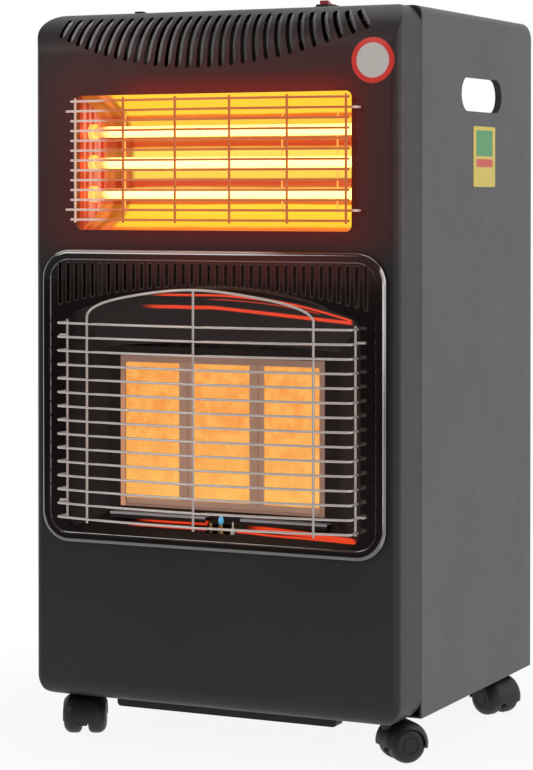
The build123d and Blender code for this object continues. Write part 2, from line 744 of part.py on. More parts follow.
def guard_feet():
    """Where the lower guard's four feet enter the lower frame."""
    return [(side * LOWER_FOOT_X, z) for side in (-1, 1) for z in (240.0, 404.0)]


def lower_guard():
    """Bowed wire guard with an arched upright over the burner."""
    solids = []

    def face(x):
        return bow(x, LOWER_HALF, LOWER_REACH, LOWER_BOW)

    pitch = (LOWER_HIGH - LOWER_LOW) / (LOWER_WIRES - 1)
    for index in range(LOWER_WIRES):
        z = LOWER_LOW + index * pitch
        solids.append(wire(staple(LOWER_HALF, LOWER_REACH, LOWER_BOW, FRONT - 5.0, z)))
    behind = 2 * WIRE_R - WELD
    leg_y = face(ARCH_HALF) + behind
    foot = LOWER_LOW - 4
    haunch_x = ARCH_HALF * 0.52
    haunch_y = face(haunch_x) + behind
    arch = Spline(
        [(-ARCH_HALF, leg_y, ARCH_SPRING), (-haunch_x, haunch_y, ARCH_HAUNCH),
         (0, face(0) + behind, ARCH_CROWN), (haunch_x, haunch_y, ARCH_HAUNCH),
         (ARCH_HALF, leg_y, ARCH_SPRING)],
        tangents=[(0, 0, 1), (0, 0, -1)], tangent_scalars=[0.6, 0.6])
    path = Line((-ARCH_HALF, leg_y, foot), (-ARCH_HALF, leg_y, ARCH_SPRING)) + arch
    path += Line((ARCH_HALF, leg_y, ARCH_SPRING), (ARCH_HALF, leg_y, foot))
    solids.append(wire(path))
    solids.append(rod((0, face(0) + behind, foot), (0, face(0) + behind, ARCH_CROWN), WIRE_R))
    upright_x = LOWER_HALF - behind
    upright_y = FRONT - 6.0
    for side in (-1, 1):
        x = side * upright_x
        solids.append(rod((x, upright_y, LOWER_LOW - 3), (x, upright_y, LOWER_HIGH + 3), WIRE_R))
    for x, z in guard_feet():
        side = 1 if x > 0 else -1
        hook = FilletPolyline((side * upright_x, upright_y, z), (x, upright_y, z),
                              (x, FRONT + 1, z), radius=2)
        solids.append(wire(hook))
    return solids[0].fuse(*solids[1:])


# ---------------------------------------------------------------- controls
def rocker_points(grow):
    """Side view of a rocker about its pivot: a shallow V on top, narrower below."""
    long = ROCKER_HALF_L + grow
    return [(-long, 4.6 + grow), (0, 3.0 + grow), (long, 4.6 + grow),
            (long - 1.6, -4.0), (-long + 1.6, -4.0)]


def rocker_button():
    """Red rocker button at its resting tilt."""
    body = along_x(make_face(Polyline(*rocker_points(0), close=True)), -ROCKER_W / 2, ROCKER_W / 2)
    body += rod((-ROCKER_W / 2 - 1.6, 0, 0), (ROCKER_W / 2 + 1.6, 0, 0), 1.5)
    return Pos(ROCKER_X, FRONT + CONTROL_Y, ROCKER_PIVOT_Z) * Rot(ROCKER_REST, 0, 0) * body


def rocker_housing():
    """Switch body with a shallow collar round its rocker."""
    x, y = ROCKER_X, FRONT + CONTROL_Y
    half_x, half_y = ROCKER_W / 2 + 2.2, ROCKER_HALF_L + 3.4
    collar = box(x - half_x - 1, x + half_x + 1, y - half_y - 1, y + half_y + 1,
                 TOP + 1.5, TOP + 3.0)
    body = box(x - half_x, x + half_x, y - half_y, y + half_y, TOP - 22, TOP + 5.1)
    body += collar
    body -= box(x - ROCKER_W / 2 - 0.3, x + ROCKER_W / 2 + 0.3, y - half_y + 1.8,
                y + half_y - 1.8, ROCKER_PIVOT_Z - 7.5, TOP + 8)
    pin = rod((x - half_x + 0.2, y, ROCKER_PIVOT_Z), (x + half_x - 0.2, y, ROCKER_PIVOT_Z),
              1.5 + RUNNING_GAP)
    body -= pin
    for side in (-1, 1):
        leg = box(x + side * 3 - 0.4, x + side * 3 + 0.4, y - 3, y + 3, TOP - 30, TOP - 22)
        body += leg
    return body


def control_console():
    """Black moulding in the top with a round well for the knob."""
    y = FRONT + CONTROL_Y
    plate = console_block(CONSOLE_RIM, TOP, TOP + 1.5) + console_block(0, TOP - 6, TOP)
    plate -= console_block(-2, TOP - 7, TOP - 1.0)
    cup = rod((KNOB_X, y, WELL_FLOOR), (KNOB_X, y, TOP), WELL_R + 1.5)
    plate += cup
    plate -= rod((KNOB_X, y, WELL_FLOOR + 1.5), (KNOB_X, y, TOP + 5), WELL_R)
    plate -= rod((KNOB_X, y, WELL_FLOOR - 1), (KNOB_X, y, WELL_FLOOR + 5), SPINDLE_R + 0.6)
    half_x, half_y = ROCKER_W / 2 + 2.2, ROCKER_HALF_L + 3.4
    return plate - box(ROCKER_X - half_x, ROCKER_X + half_x, y - half_y, y + half_y,
                       TOP - 10, TOP + 5)


def control_bracket():
    """Folded sheet that hangs from the console behind the louvres and braces it."""
    y0 = FRONT + CONTROL_Y - CONSOLE_DEPTH / 2
    plate = box(-BRACKET_HALF, BRACKET_HALF, y0, y0 + SHEET, BRACKET_LOW, BRACKET_HIGH)
    plate += box(-BRACKET_HALF, BRACKET_HALF, y0, y0 + 10, BRACKET_LOW, BRACKET_LOW + SHEET)
    plate += box(-BRACKET_HALF, BRACKET_HALF, y0, y0 + 10, BRACKET_HIGH - SHEET, BRACKET_HIGH)
    for side in (-1, 1):
        x0 = side * (BRACKET_HALF - 6)
        plate += box(x0 - 6, x0 + 6, y0, y0 + SHEET, BRACKET_HIGH - 1, TOP - 6)
    return plate


def gas_valve():
    """Brass tap body under the knob, with a hose spigot behind and an outlet at the side."""
    y = FRONT + CONTROL_Y
    body = box(KNOB_X - 15, KNOB_X + 15, y - 15, y + 15, VALVE_LOW, WELL_FLOOR)
    body = fillet(body.edges().filter_by(Axis.Z), 4)
    shoulder = FRONT + SHIELD_Y + 2
    body += rod((KNOB_X, y + 14, NOZZLE_Z), (KNOB_X, shoulder, NOZZLE_Z), NOZZLE_R + 0.7)
    body += rod((KNOB_X, shoulder, NOZZLE_Z), (KNOB_X, shoulder + NOZZLE_L, NOZZLE_Z), NOZZLE_R)
    body += rod((KNOB_X - 14, y, 668), (KNOB_X - 22, y, 668), 6.5)
    body -= rod((KNOB_X, y, VALVE_LOW + 4), (KNOB_X, y, WELL_FLOOR - 3), PLUG_R + RUNNING_GAP)
    body -= rod((KNOB_X, y + 6, NOZZLE_Z), (KNOB_X, shoulder + NOZZLE_L + 1, NOZZLE_Z), NOZZLE_BORE_R)
    body -= rod((KNOB_X, y, 690), (KNOB_X, y, WELL_FLOOR + 1), SPINDLE_R + 0.6)
    return body - rod((KNOB_X - 30, y, 668), (KNOB_X - 12, y, 668), 4.0)


def valve_plug():
    """Turning plug of the tap, with a flatted bore that the spindle slides in."""
    y = FRONT + CONTROL_Y
    plug = rod((KNOB_X, y, VALVE_LOW + 4.3), (KNOB_X, y, WELL_FLOOR - 3.3), PLUG_R)
    return plug - spindle_bar(RUNNING_GAP, 672.0, WELL_FLOOR)


def spindle_bar(grow, z0, z1):
    """A round bar with one flat."""
    y = FRONT + CONTROL_Y
    bar = rod((KNOB_X, y, z0), (KNOB_X, y, z1), SPINDLE_R + grow)
    return bar - box(KNOB_X + 2.0 + grow, KNOB_X + 9, y - 9, y + 9, z0 - 1, z1 + 1)


def valve_spindle():
    """Steel spindle that turns with the plug and pushes in to light the pilot."""
    return spindle_bar(0, 679.0, 716.0)


def gas_knob():
    """Control knob with a raised grip."""
    y = FRONT + CONTROL_Y
    base_low = WELL_FLOOR + 1.5 + PUSH_TRAVEL + 0.5
    knob = rod((KNOB_X, y, base_low), (KNOB_X, y, 720.5), KNOB_R)
    knob = fillet(knob.faces().sort_by(Axis.Z)[-1].edges(), 1.5)
    grip = box(KNOB_X - 5, KNOB_X + 5, y - GRIP_HALF_L, y + GRIP_HALF_L, 719, KNOB_TOP)
    grip = fillet(grip.edges().filter_by(Axis.Z), 4.5)
    dish_z = KNOB_TOP + GRIP_DISH_R - 1.3
    grip -= rod((KNOB_X - 9, y, dish_z), (KNOB_X + 9, y, dish_z), GRIP_DISH_R)
    grip -= box(KNOB_X - 1, KNOB_X + 1, y - KNOB_R, y - 10, KNOB_TOP - 1.2, KNOB_TOP + 1)
    return knob + grip - spindle_bar(0, base_low - 1, 716.0)


def gas_pipes():
    """Aluminium pipe from the tap down to the gas rail."""
    y = FRONT + CONTROL_Y
    rail_y = FRONT + MIXER_Y
    points = [(KNOB_X - 14, y, 668), (-158, y, 668), (-158, rail_y + 8, 560),
              (-158, rail_y, 500), (-158, rail_y, MANIFOLD_Z),
              (-BURNER_HALF + 8, rail_y, MANIFOLD_Z)]
    path = FilletPolyline(*points, radius=12)
    outer = wire(path, radius=4.0)
    return outer - wire(path, radius=3.0)


# ---------------------------------------------------------------- services
def tip_over_switch():
    """Sealed tilt cut-out on the floor."""
    z0 = FLOOR + 2 * SHEET
    case = box(60, 90, FRONT + 64, FRONT + 84, z0, z0 + 22)
    case = fillet(case.edges().filter_by(Axis.Z), 2)
    return case + box(54, 96, FRONT + 68, FRONT + 80, z0, z0 + 2)


def terminal_block():
    """Screw terminals for the electric heater's wiring."""
    z0 = FLOOR + 2 * SHEET
    block = box(-150, -110, FRONT + 64, FRONT + 82, z0, z0 + 16)
    for index in range(3):
        x = -142 + 12 * index
        block -= rod((x, FRONT + 73, z0 + 8), (x, FRONT + 73, z0 + 20), 2.6)
    return block


def cord_gland():
    """Strain relief for the mains lead, low at the back."""
    y1 = BACK - SHEET
    z = FLOOR + SHEET + 16
    gland = rod((GLAND_X, y1 - 8, z), (GLAND_X, y1 + 9, z), 6.0)
    gland += rod((GLAND_X, y1, z), (GLAND_X, y1 + 3, z), 9.0)
    gland += rod((GLAND_X, y1 - SHEET - 3, z), (GLAND_X, y1 - SHEET, z), 8.0)
    return gland - rod((GLAND_X, y1 - 9, z), (GLAND_X, y1 + 10, z), 3.5)


def cabinet_screws():
    """Pan-head screws along the back of the cabinet."""
    screws = []
    for x, z in SCREW_SPOTS:
        head = rod((x, BACK + 2.2, z), (x, BACK, z), SCREW_HEAD_R)
        head = fillet(head.faces().sort_by(Axis.Y)[-1].edges(), 0.9)
        shank = rod((x, BACK, z), (x, BACK - 4.5, z), SCREW_R)
        cross = box(x - 2, x + 2, BACK + 1.2, BACK + 3, z - 0.4, z + 0.4)
        cross += box(x - 0.4, x + 0.4, BACK + 1.2, BACK + 3, z - 2, z + 2)
        screws.append(head + shank - cross)
    return screws


def round_badge():
    """Thin round plate that follows the front pressing up into its rounded corner."""
    disc = rod((BADGE_X, FRONT - 5, BADGE_Z), (BADGE_X, FRONT + 10, BADGE_Z), BADGE_R)
    return (front_block(-STICKER) & disc) - front_block(0)


def side_label():
    y = FRONT + LABEL_Y
    flat = Pos(y, LABEL_Z) * RectangleRounded(LABEL_SIZE, LABEL_SIZE, 2)
    return along_x(flat, HALF_W, HALF_W + STICKER)


# ---------------------------------------------------------------- rear cover
def peg_heights():
    return (130.0, 560.0)


def rear_cover():
    """Pressed cover over the bottle bay, held by four push-in pegs."""
    def bulge(inset):
        block = box(-168 + inset, 168 - inset, BACK - 1, BACK + COVER_BULGE - inset,
                    COVER_LOW + 16 + inset, COVER_HIGH - 16 - inset)
        block = fillet(block.edges().filter_by(Axis.Y), 20 - inset)
        return fillet(block.faces().sort_by(Axis.Y)[-1].edges(), 8 - inset)

    flat = rounded(-COVER_HALF, COVER_HALF, COVER_LOW, COVER_HIGH, 10)
    cover = along_y(flat, BACK, BACK + COVER_SHEET) + bulge(0)
    cover -= bulge(COVER_SHEET)
    cover -= box(-COVER_HALF, COVER_HALF, BACK - 2, BACK, 0, TOP)
    for x in (-75.0, 75.0):
        for row in range(7):
            slot = Pos(x, 400 + 20 * row) * SlotOverall(90, 6)
            cover -= along_y(slot, BACK + 5, BACK + 30)
            low_slot = Pos(x, 130 + 20 * row) * SlotOverall(90, 6)
            cover -= along_y(low_slot, BACK + 5, BACK + 30)
    for side in (-1, 1):
        for z in peg_heights():
            x = side * PEG_X
            cover += rod((x, BACK - 7, z), (x, BACK + 0.5, z), PEG_R)
    return cover


# ---------------------------------------------------------------- castors
def castor_mount(x, y):
    """Fixed plate and the stem welded under it, that a castor turns on."""
    z1 = FLOOR + SHEET
    half = CASTOR_PLATE_HALF
    plate = box(x - half, x + half, FRONT + y - half, FRONT + y + half, z1 - CASTOR_PLATE, z1)
    plate = fillet(plate.edges().filter_by(Axis.Z), 4)
    return [plate, rod((x, FRONT + y, STEM_LOW), (x, FRONT + y, z1 - CASTOR_PLATE), STEM_R)]


def placed(shape, x, y, angle):
    return Pos(x, FRONT + y, 0) * Rot(0, 0, angle) * shape


def roller(y0, y1, radius, shoulder_0, shoulder_1):
    """A drum on the wheel axle with rounded shoulders, from one side station to another."""
    drum = rod((TRAIL, y0, WHEEL_R), (TRAIL, y1, WHEEL_R), radius)
    ends = drum.faces().filter_by(GeomType.PLANE).sort_by(Axis.Y)
    drum = fillet(ends[0].edges(), shoulder_0)
    ends = drum.faces().filter_by(GeomType.PLANE).sort_by(Axis.Y)
    return fillet(ends[-1].edges(), shoulder_1)


def castor_hood():
    """Swivelling web with an arched mudguard over both wheels."""
    skin = HOOD_R - HOOD_INNER_R
    shoulder = WHEEL_OUTER_SHOULDER + 1.0
    ring = roller(-HOOD_HALF, HOOD_HALF, HOOD_R, shoulder + skin, shoulder + skin)
    ring -= roller(-HOOD_INNER_HALF, HOOD_INNER_HALF, HOOD_INNER_R, shoulder, shoulder)
    ring -= rod((TRAIL, -HOOD_HALF - 1, WHEEL_R), (TRAIL, HOOD_HALF + 1, WHEEL_R), HOOD_LIP_R)
    reach = 40.0
    wedge = [(reach * cos(radians(a)), reach * sin(radians(a))) for a in (-12, 40, 90, 140, 186)]
    sector = Pos(TRAIL, WHEEL_R) * make_face(Polyline((0, 0), *wedge, close=True))
    hood = ring & along_y(sector, -30, 30)
    web = Pos(TRAIL, WHEEL_R) * Circle(HOOD_R - 1)
    body = hood + along_y(web, -WEB_HALF, WEB_HALF)
    body += rod((0, 0, STEM_LOW - 1.5), (0, 0, 40.6), BOSS_R)
    body -= box(-30, 60, -30, 30, -20, WEB_LOW)
    body -= rod((0, 0, STEM_LOW - 0.5), (0, 0, 50), STEM_R + RUNNING_GAP)
    return body - rod((TRAIL, -WEB_HALF - 1, WHEEL_R), (TRAIL, WEB_HALF + 1, WHEEL_R), AXLE_R)


def castor_axle():
    end = WHEEL_OUTER - 2.5
    return rod((TRAIL, -end, WHEEL_R), (TRAIL, end, WHEEL_R), AXLE_R)


def castor_wheel(side):
    """Closed-face wheel with a rounded tread, blind-bored from the inside."""
    inner, outer = side * WHEEL_INNER, side * WHEEL_OUTER
    if side > 0:
        wheel = roller(inner, outer, WHEEL_R, WHEEL_INNER_SHOULDER, WHEEL_OUTER_SHOULDER)
    else:
        wheel = roller(outer, inner, WHEEL_R, WHEEL_OUTER_SHOULDER, WHEEL_INNER_SHOULDER)
    groove = rod((TRAIL, outer - side * 0.8, WHEEL_R), (TRAIL, outer + side, WHEEL_R), 8.0)
    groove -= rod((TRAIL, outer - side * 0.9, WHEEL_R), (TRAIL, outer + side, WHEEL_R), 7.2)
    bore_end = outer - side * 2.0
    bore = rod((TRAIL, inner - side, WHEEL_R), (TRAIL, bore_end, WHEEL_R), AXLE_R + RUNNING_GAP)
    return wheel - groove - bore


# ---------------------------------------------------------------- write every sub-part
def build_cabinet():
    shell = cabinet_shell()
    right = right_side_panel(shell)
    save("front_panel", front_panel())
    save("right_side_panel", right)
    save("left_side_panel", mirrored(right))
    save("top_panel", top_panel(shell))
    save("base_tray", base_tray())
    save("base_rail", base_rail())
    save("heat_shield", heat_shield())
    save("cabinet_screws", *cabinet_screws())
    save("round_badge", round_badge())
    save("side_label", side_label())
    save("rear_cover", rear_cover())


def build_electric_heater():
    save("upper_reflector", upper_reflector())
    save("reflector_ends", reflector_end(-1), reflector_end(1))
    save("quartz_tubes", *[quartz_tube(z) for z in tube_heights()])
    save("heater_filaments", *[filament(z) for z in tube_heights()])
    save("tube_caps", *[tube_cap(side, z) for side in (-1, 1) for z in tube_heights()])
    save("upper_guard", upper_guard())


def build_gas_heater():
    save("lower_bezel", lower_bezel())
    save("burner_hood", burner_hood())
    save("burner_frame", burner_frame())
    for index, name in enumerate(PLAQUES):
        save(name, plaque(index))
    save("burner_box", burner_box())
    save("mixing_tubes", *[mixing_tube(plaque_x(index)) for index in range(3)])
    save("gas_manifold", gas_manifold())
    save("hood_lips", *hood_lips())
    save("pilot_burner", pilot_burner())
    save("spark_electrode", spark_electrode())
    save("thermocouple", thermocouple())
    save("lower_guard", lower_guard())


def build_controls():
    save("control_console", control_console())
    save("control_bracket", control_bracket())
    save("rocker_housing", rocker_housing())
    save("rocker_button", rocker_button())
    save("gas_valve", gas_valve())
    save("valve_plug", valve_plug())
    save("valve_spindle", valve_spindle())
    save("gas_knob", gas_knob())
    save("gas_pipes", gas_pipes())
    save("tip_over_switch", tip_over_switch())
    save("terminal_block", terminal_block())
    save("cord_gland", cord_gland())


def build_castors():
    save("castor_mounts", *[piece for x, y, _ in CASTORS.values() for piece in castor_mount(x, y)])
    for corner, (x, y, angle) in CASTORS.items():
        save(f"hood_{corner}", placed(castor_hood(), x, y, angle))
        save(f"axle_{corner}", placed(castor_axle(), x, y, angle))
        save(f"wheel_a_{corner}", placed(castor_wheel(-1), x, y, angle))
        save(f"wheel_b_{corner}", placed(castor_wheel(1), x, y, angle))


os.makedirs("parts", exist_ok=True)
build_cabinet()
build_electric_heater()
build_gas_heater()
build_controls()
build_castors()
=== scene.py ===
import math

import bmesh
import bpy
from mathutils import Matrix, Vector


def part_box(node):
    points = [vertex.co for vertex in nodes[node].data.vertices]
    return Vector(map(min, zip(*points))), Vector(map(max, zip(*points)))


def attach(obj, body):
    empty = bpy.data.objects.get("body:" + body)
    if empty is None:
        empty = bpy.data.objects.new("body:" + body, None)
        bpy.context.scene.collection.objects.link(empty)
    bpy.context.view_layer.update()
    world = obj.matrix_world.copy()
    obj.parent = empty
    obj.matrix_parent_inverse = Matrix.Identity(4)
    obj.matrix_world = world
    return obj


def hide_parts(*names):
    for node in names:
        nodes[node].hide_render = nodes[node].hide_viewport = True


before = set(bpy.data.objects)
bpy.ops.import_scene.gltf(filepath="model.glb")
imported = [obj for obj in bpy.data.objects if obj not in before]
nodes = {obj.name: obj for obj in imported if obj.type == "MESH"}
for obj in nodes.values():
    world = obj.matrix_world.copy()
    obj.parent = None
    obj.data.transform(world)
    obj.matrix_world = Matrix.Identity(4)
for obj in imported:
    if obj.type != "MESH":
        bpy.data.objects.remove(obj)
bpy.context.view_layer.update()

# ---------------------------------------------------------------- camera
# The heater was photographed from its right, with the lens level with the quartz tubes.
# A long lens keeps the upright edges upright, and the frame is shifted down to the floor.
turned_right = 25.79
tilted_down = 0.838
camera = bpy.data.objects.new("camera", bpy.data.cameras.new("camera"))
bpy.context.collection.objects.link(camera)
camera.data.sensor_width = 36.0
camera.data.lens = 117.03
camera.data.shift_y = -0.20
camera.data.clip_end = 60.0
camera.location = (1.1017, -2.3269, 0.5434)
camera.rotation_euler = (math.radians(90 - tilted_down), 0, math.radians(turned_right))
bpy.context.scene.camera = camera
bpy.context.scene.view_settings.view_transform = "Standard"

# ---------------------------------------------------------------- studio
# A white sweep with a large softbox on the right, one in front, one overhead and a low strip.
# The room in front of the heater is dark, which is what its black enamel reflects.


class Value:
    """What comes out of a node. Arithmetic on it adds the Math nodes."""

    def __init__(self, owner, socket):
        self.owner = owner
        self.socket = socket

    def maths(self, operation, *terms):
        settings = {"operation": operation}
        return self.owner.node("ShaderNodeMath", settings, dict(enumerate(terms)))

    def __add__(self, other):
        return self.maths("ADD", self, other)

    def __radd__(self, other):
        return self.maths("ADD", other, self)

    def __sub__(self, other):
        return self.maths("SUBTRACT", self, other)

    def __rsub__(self, other):
        return self.maths("SUBTRACT", other, self)

    def __mul__(self, other):
        return self.maths("MULTIPLY", self, other)

    def __rmul__(self, other):
        return self.maths("MULTIPLY", other, self)

    def __truediv__(self, other):
        return self.maths("DIVIDE", self, other)

    def __abs__(self):
        return self.maths("ABSOLUTE", self)

    def sine(self):
        return self.maths("SINE", self)

    def at_least(self, other):
        return self.maths("MAXIMUM", self, other)

    def between(self, low, high):
        """0 at low, 1 at high, smooth in between. Low may be the larger one."""
        settings = {"interpolation_type": "SMOOTHSTEP"}
        return self.owner.node("ShaderNodeMapRange", settings,
                               {"Value": self, "From Min": low, "From Max": high})


class NodeTree:
    """A node tree filled by one method."""

    def __init__(self, tree):
        self.tree = tree

    def node(self, kind, settings, inputs, output=0):
        made = self.tree.nodes.new(kind)
        for key, value in settings.items():
            if key == "stops":
                self.set_stops(made.color_ramp, value)
            else:
                setattr(made, key, value)
        for key, value in inputs.items():
            self.feed(made.inputs[key], value)
        return Value(self, made.outputs[output]) if made.outputs else made

    def feed(self, socket, value):
        if isinstance(value, Value):
            self.tree.links.new(value.socket, socket)
        else:
            socket.default_value = value

    def set_stops(self, ramp, stops):
        while len(ramp.elements) < len(stops):
            ramp.elements.new(0.5)
        for element, (position, colour) in zip(ramp.elements, stops):
            element.position = position
            element.color = colour

    def mix(self, factor, first, second):
        """From the first colour to the second as the factor goes from 0 to 1."""
        return self.node("ShaderNodeMix", {"data_type": "RGBA"},
                         {0: factor, 6: first, 7: second}, 2)

    def noise(self, scale, vector, detail=3.0, roughness=0.5):
        return self.node("ShaderNodeTexNoise", {},
                         {"Vector": vector, "Scale": scale, "Detail": detail,
                          "Roughness": roughness})

    def ray(self, kind):
        return self.node("ShaderNodeLightPath", {}, {}, kind)


def srgb(red, green, blue):
    """A colour as a screen shows it, 0 to 255, made ready for the shader."""
    def channel(c):
        c = c / 255
        return c / 12.92 if c <= 0.04045 else ((c + 0.055) / 1.055) ** 2.4
    return (channel(red), channel(green), channel(blue), 1.0)


dark_wall = 0.10
fill_light = 0.30
world = bpy.data.worlds.new("studio")
world.use_nodes = True
bpy.context.scene.world = world
room = NodeTree(world.node_tree)
world.node_tree.nodes.clear()
direction = room.node("ShaderNodeTexCoord", {}, {}, "Generated")
away = room.node("ShaderNodeSeparateXYZ", {}, {"Vector": direction}, "Y").between(-0.35, 0.2)
mirrored = room.ray("Is Glossy Ray") * (dark_wall + (1 - dark_wall) * away)
white = room.ray("Is Camera Ray").at_least(room.ray("Is Transmission Ray")).at_least(mirrored)
level = white.at_least(fill_light * room.ray("Is Diffuse Ray"))
sky = room.node("ShaderNodeBackground", {}, {"Color": (1, 1, 1, 1), "Strength": level})
room.node("ShaderNodeOutputWorld", {}, {"Surface": sky})


def softbox(name, place, aim, width, height, power):
    """A rectangular lamp that looks at a point."""
    lamp = bpy.data.lights.new(name, "AREA")
    lamp.shape = "RECTANGLE"
    lamp.size, lamp.size_y = width, height
    lamp.energy = power
    holder = bpy.data.objects.new(name, lamp)
    holder.visible_camera = False
    holder.location = place
    turn = (Vector(aim) - Vector(place)).to_track_quat("-Z", "Y")
    holder.rotation_euler = turn.to_euler()
    bpy.context.collection.objects.link(holder)


softbox("softbox_right", (2.6, 0.1, 1.3), (0.2, 0.0, 0.42), 1.0, 1.8, 13.0)
softbox("softbox_front", (-1.45, -2.2, 1.5), (0.0, -0.17, 0.4), 0.9, 0.9, 13.0)
softbox("softbox_top", (0.2, 0.1, 2.9), (0.0, 0.0, 0.4), 2.2, 2.2, 22.0)
softbox("strip_right", (1.2, -1.35, 0.30), (0.18, -0.17, 0.33), 0.25, 0.56, 3.2)


class Finish(NodeTree):
    """A material on the Principled shader, with its constants set on the shader itself."""

    def __init__(self, name, **constants):
        self.material = bpy.data.materials.new(name)
        self.material.use_nodes = True
        super().__init__(self.material.node_tree)
        self.shader = self.tree.nodes["Principled BSDF"]
        self.set(**constants)
        self.place = self.node("ShaderNodeTexCoord", {}, {}, "Object")

    def set(self, **inputs):
        for key, value in inputs.items():
            self.feed(self.shader.inputs[key.replace("_", " ")], value)

    def axis(self, name, vector=None):
        return self.node("ShaderNodeSeparateXYZ", {}, {"Vector": vector or self.place}, name)

    def normal(self, name):
        """One axis of the way that the surface faces."""
        return self.axis(name, self.node("ShaderNodeNewGeometry", {}, {}, "Normal"))

    def stretched(self, x, y, z):
        """The place with each axis scaled, for grain that runs one way."""
        return self.node("ShaderNodeMapping", {}, {"Vector": self.place, "Scale": (x, y, z)})

    def bump(self, height, distance, strength=1.0):
        self.set(Normal=self.node("ShaderNodeBump", {},
                                  {"Height": height, "Distance": distance,
                                   "Strength": strength}))


floor_half = 12.0
shadow_depth = 0.10
sweep = bmesh.new()
bmesh.ops.create_grid(sweep, x_segments=1, y_segments=1, size=floor_half)
floor_mesh = bpy.data.meshes.new("floor")
sweep.to_mesh(floor_mesh)
sweep.free()
floor = bpy.data.objects.new("floor", floor_mesh)
bpy.context.collection.objects.link(floor)
paper = Finish("white_sweep", Roughness=0.9, Specular_IOR_Level=0.0)
in_front = paper.axis("Y").between(-0.5, -1.1)
dim = paper.ray("Is Glossy Ray") * in_front
paper.set(Base_Color=paper.mix(dim, (0.92, 0.92, 0.92, 1.0), (0.05, 0.05, 0.05, 1.0)))
reach = paper.node("ShaderNodeVectorMath", {"operation": "LENGTH"}, {0: paper.place}, "Value")
clear = paper.ray("Is Camera Ray").at_least(paper.ray("Is Transmission Ray"))
clear = clear.at_least(paper.ray("Is Glossy Ray") * (1.0 - in_front))
lit = clear * (1 - shadow_depth + shadow_depth * reach.between(0.25, 0.6))
glow = paper.node("ShaderNodeEmission", {}, {"Color": (1, 1, 1, 1), "Strength": 1.0})
body = Value(paper, paper.shader.outputs[0])
blend = paper.node("ShaderNodeMixShader", {}, {0: lit, 1: body, 2: glow})
paper.feed(paper.tree.nodes["Material Output"].inputs["Surface"], blend)
floor.data.materials.append(paper.material)

# ---------------------------------------------------------------- front pressing
# One sheet of steel pressed into a shallow tray with rounded edges, punched for both windows
# and for the louvres, then powder-coated. Its charcoal is painted shade, a darker copy of the
# sides' grey paint. Beside the windows a red glow is painted into its emission, over paint
# made darker and redder there. The turned-in lip of the upper window carries a painted glow
# from the tubes.


def dress(finish, *names):
    """Gives CAD pieces a finish."""
    for name in names:
        data = nodes[name].data
        data.materials.clear()
        data.materials.append(finish.material)


def powder_coat(name, colour, roughness=0.42):
    """Baked powder paint: a fine pebble, slight cloudiness and a soft sheen."""
    coat = Finish(name, Specular_IOR_Level=0.35)
    clouds = coat.noise(9.0, coat.place, 4.0)
    dust = coat.noise(60.0, coat.place, 2.0)
    darker = tuple(c * 0.92 for c in colour[:3]) + (1.0,)
    lighter = tuple(c * 1.07 for c in colour[:3]) + (1.0,)
    coat.colour = coat.mix(clouds.between(0.3, 0.7), darker, lighter)
    coat.set(Base_Color=coat.colour, Roughness=roughness + 0.10 * dust)
    coat.bump(coat.noise(900.0, coat.place, 1.0), 0.00012, 0.5)
    return coat


no_glow = (0, 0, 0, 1)
front_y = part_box("front_panel")[0].y
window_half, window_low, window_high = 0.1512, 0.5065, 0.6430
fade = 0.001
halo = 0.022
halo_x = 0.025
front_paint = powder_coat("front_powder_coat", srgb(40, 38, 39))
across = front_paint.axis("X")
above = front_paint.axis("Z")
out_y = front_paint.axis("Y")
# Painted glow: a red glow painted beside the windows, strongest close to their edges.
heat = abs(across).between(0.235, 0.14) * above.between(0.47, 0.51) * above.between(0.735, 0.63)
heat = heat * out_y.between(front_y + halo, front_y + fade)
close = (above - (window_high + fade / 2)).at_least(window_low - above).between(halo, 0.0)
close = close * abs(across - halo_x).between(0.150, 0.090) * above.between(0.44, 0.62)
heat = heat * (0.045 + 0.10 * close)
window = abs(across).between(window_half + fade, window_half)
window = window * above.between(window_low - fade, window_low)
window = window * above.between(window_high + fade, window_high)
window = window * out_y.between(front_y + 0.0012, front_y + 0.0020)
# Painted glow on the window's turned-in lip.
lit_edge = front_paint.mix(above.between(0.513, 0.530), srgb(228, 84, 30), srgb(255, 196, 50))
lit_edge = front_paint.mix(across.between(-0.108, -0.122), lit_edge, srgb(128, 38, 22))
painted_glow = front_paint.mix(heat, no_glow, (1.0, 0.03, 0.0, 1))
# The paint is made darker and redder under the painted glow.
darker_near_windows = front_paint.mix(heat.between(0.0, 0.10) * 0.7, front_paint.colour, srgb(30, 15, 12))
front_paint.set(Base_Color=darker_near_windows, Emission_Strength=1.0,
                Emission_Color=front_paint.mix(window, painted_glow, lit_edge))
dress(front_paint, "front_panel")

# ---------------------------------------------------------------- louvre lips
# The press throws up a rounded lip along the right side of each louvre, in the same sheet
# and paint, which catches the light over the rounded top edge. That light is a painted
# highlight: the lips are painted lighter than the front, and lighter still towards the left.


def piece(name, data, finish):
    """A new fixed piece of the cabinet, from a bmesh or a finished mesh."""
    mesh = data
    if isinstance(data, bmesh.types.BMesh):
        mesh = bpy.data.meshes.new(name)
        data.to_mesh(mesh)
        data.free()
    made = bpy.data.objects.new(name, mesh)
    bpy.context.collection.objects.link(made)
    mesh.materials.clear()
    mesh.materials.append(finish.material)
    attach(made, "cabinet")
    return made


def round_wire(name, radius, resolution):
    """A curve with a round section and closed ends, for wires laid along points."""
    wire = bpy.data.curves.new(name, "CURVE")
    wire.dimensions = "3D"
    wire.bevel_depth = radius
    wire.bevel_resolution = resolution
    wire.use_fill_caps = True
    return wire


def as_mesh(curve):
    holder = bpy.data.objects.new(curve.name + "_curve", curve)
    return bpy.data.meshes.new_from_object(holder)


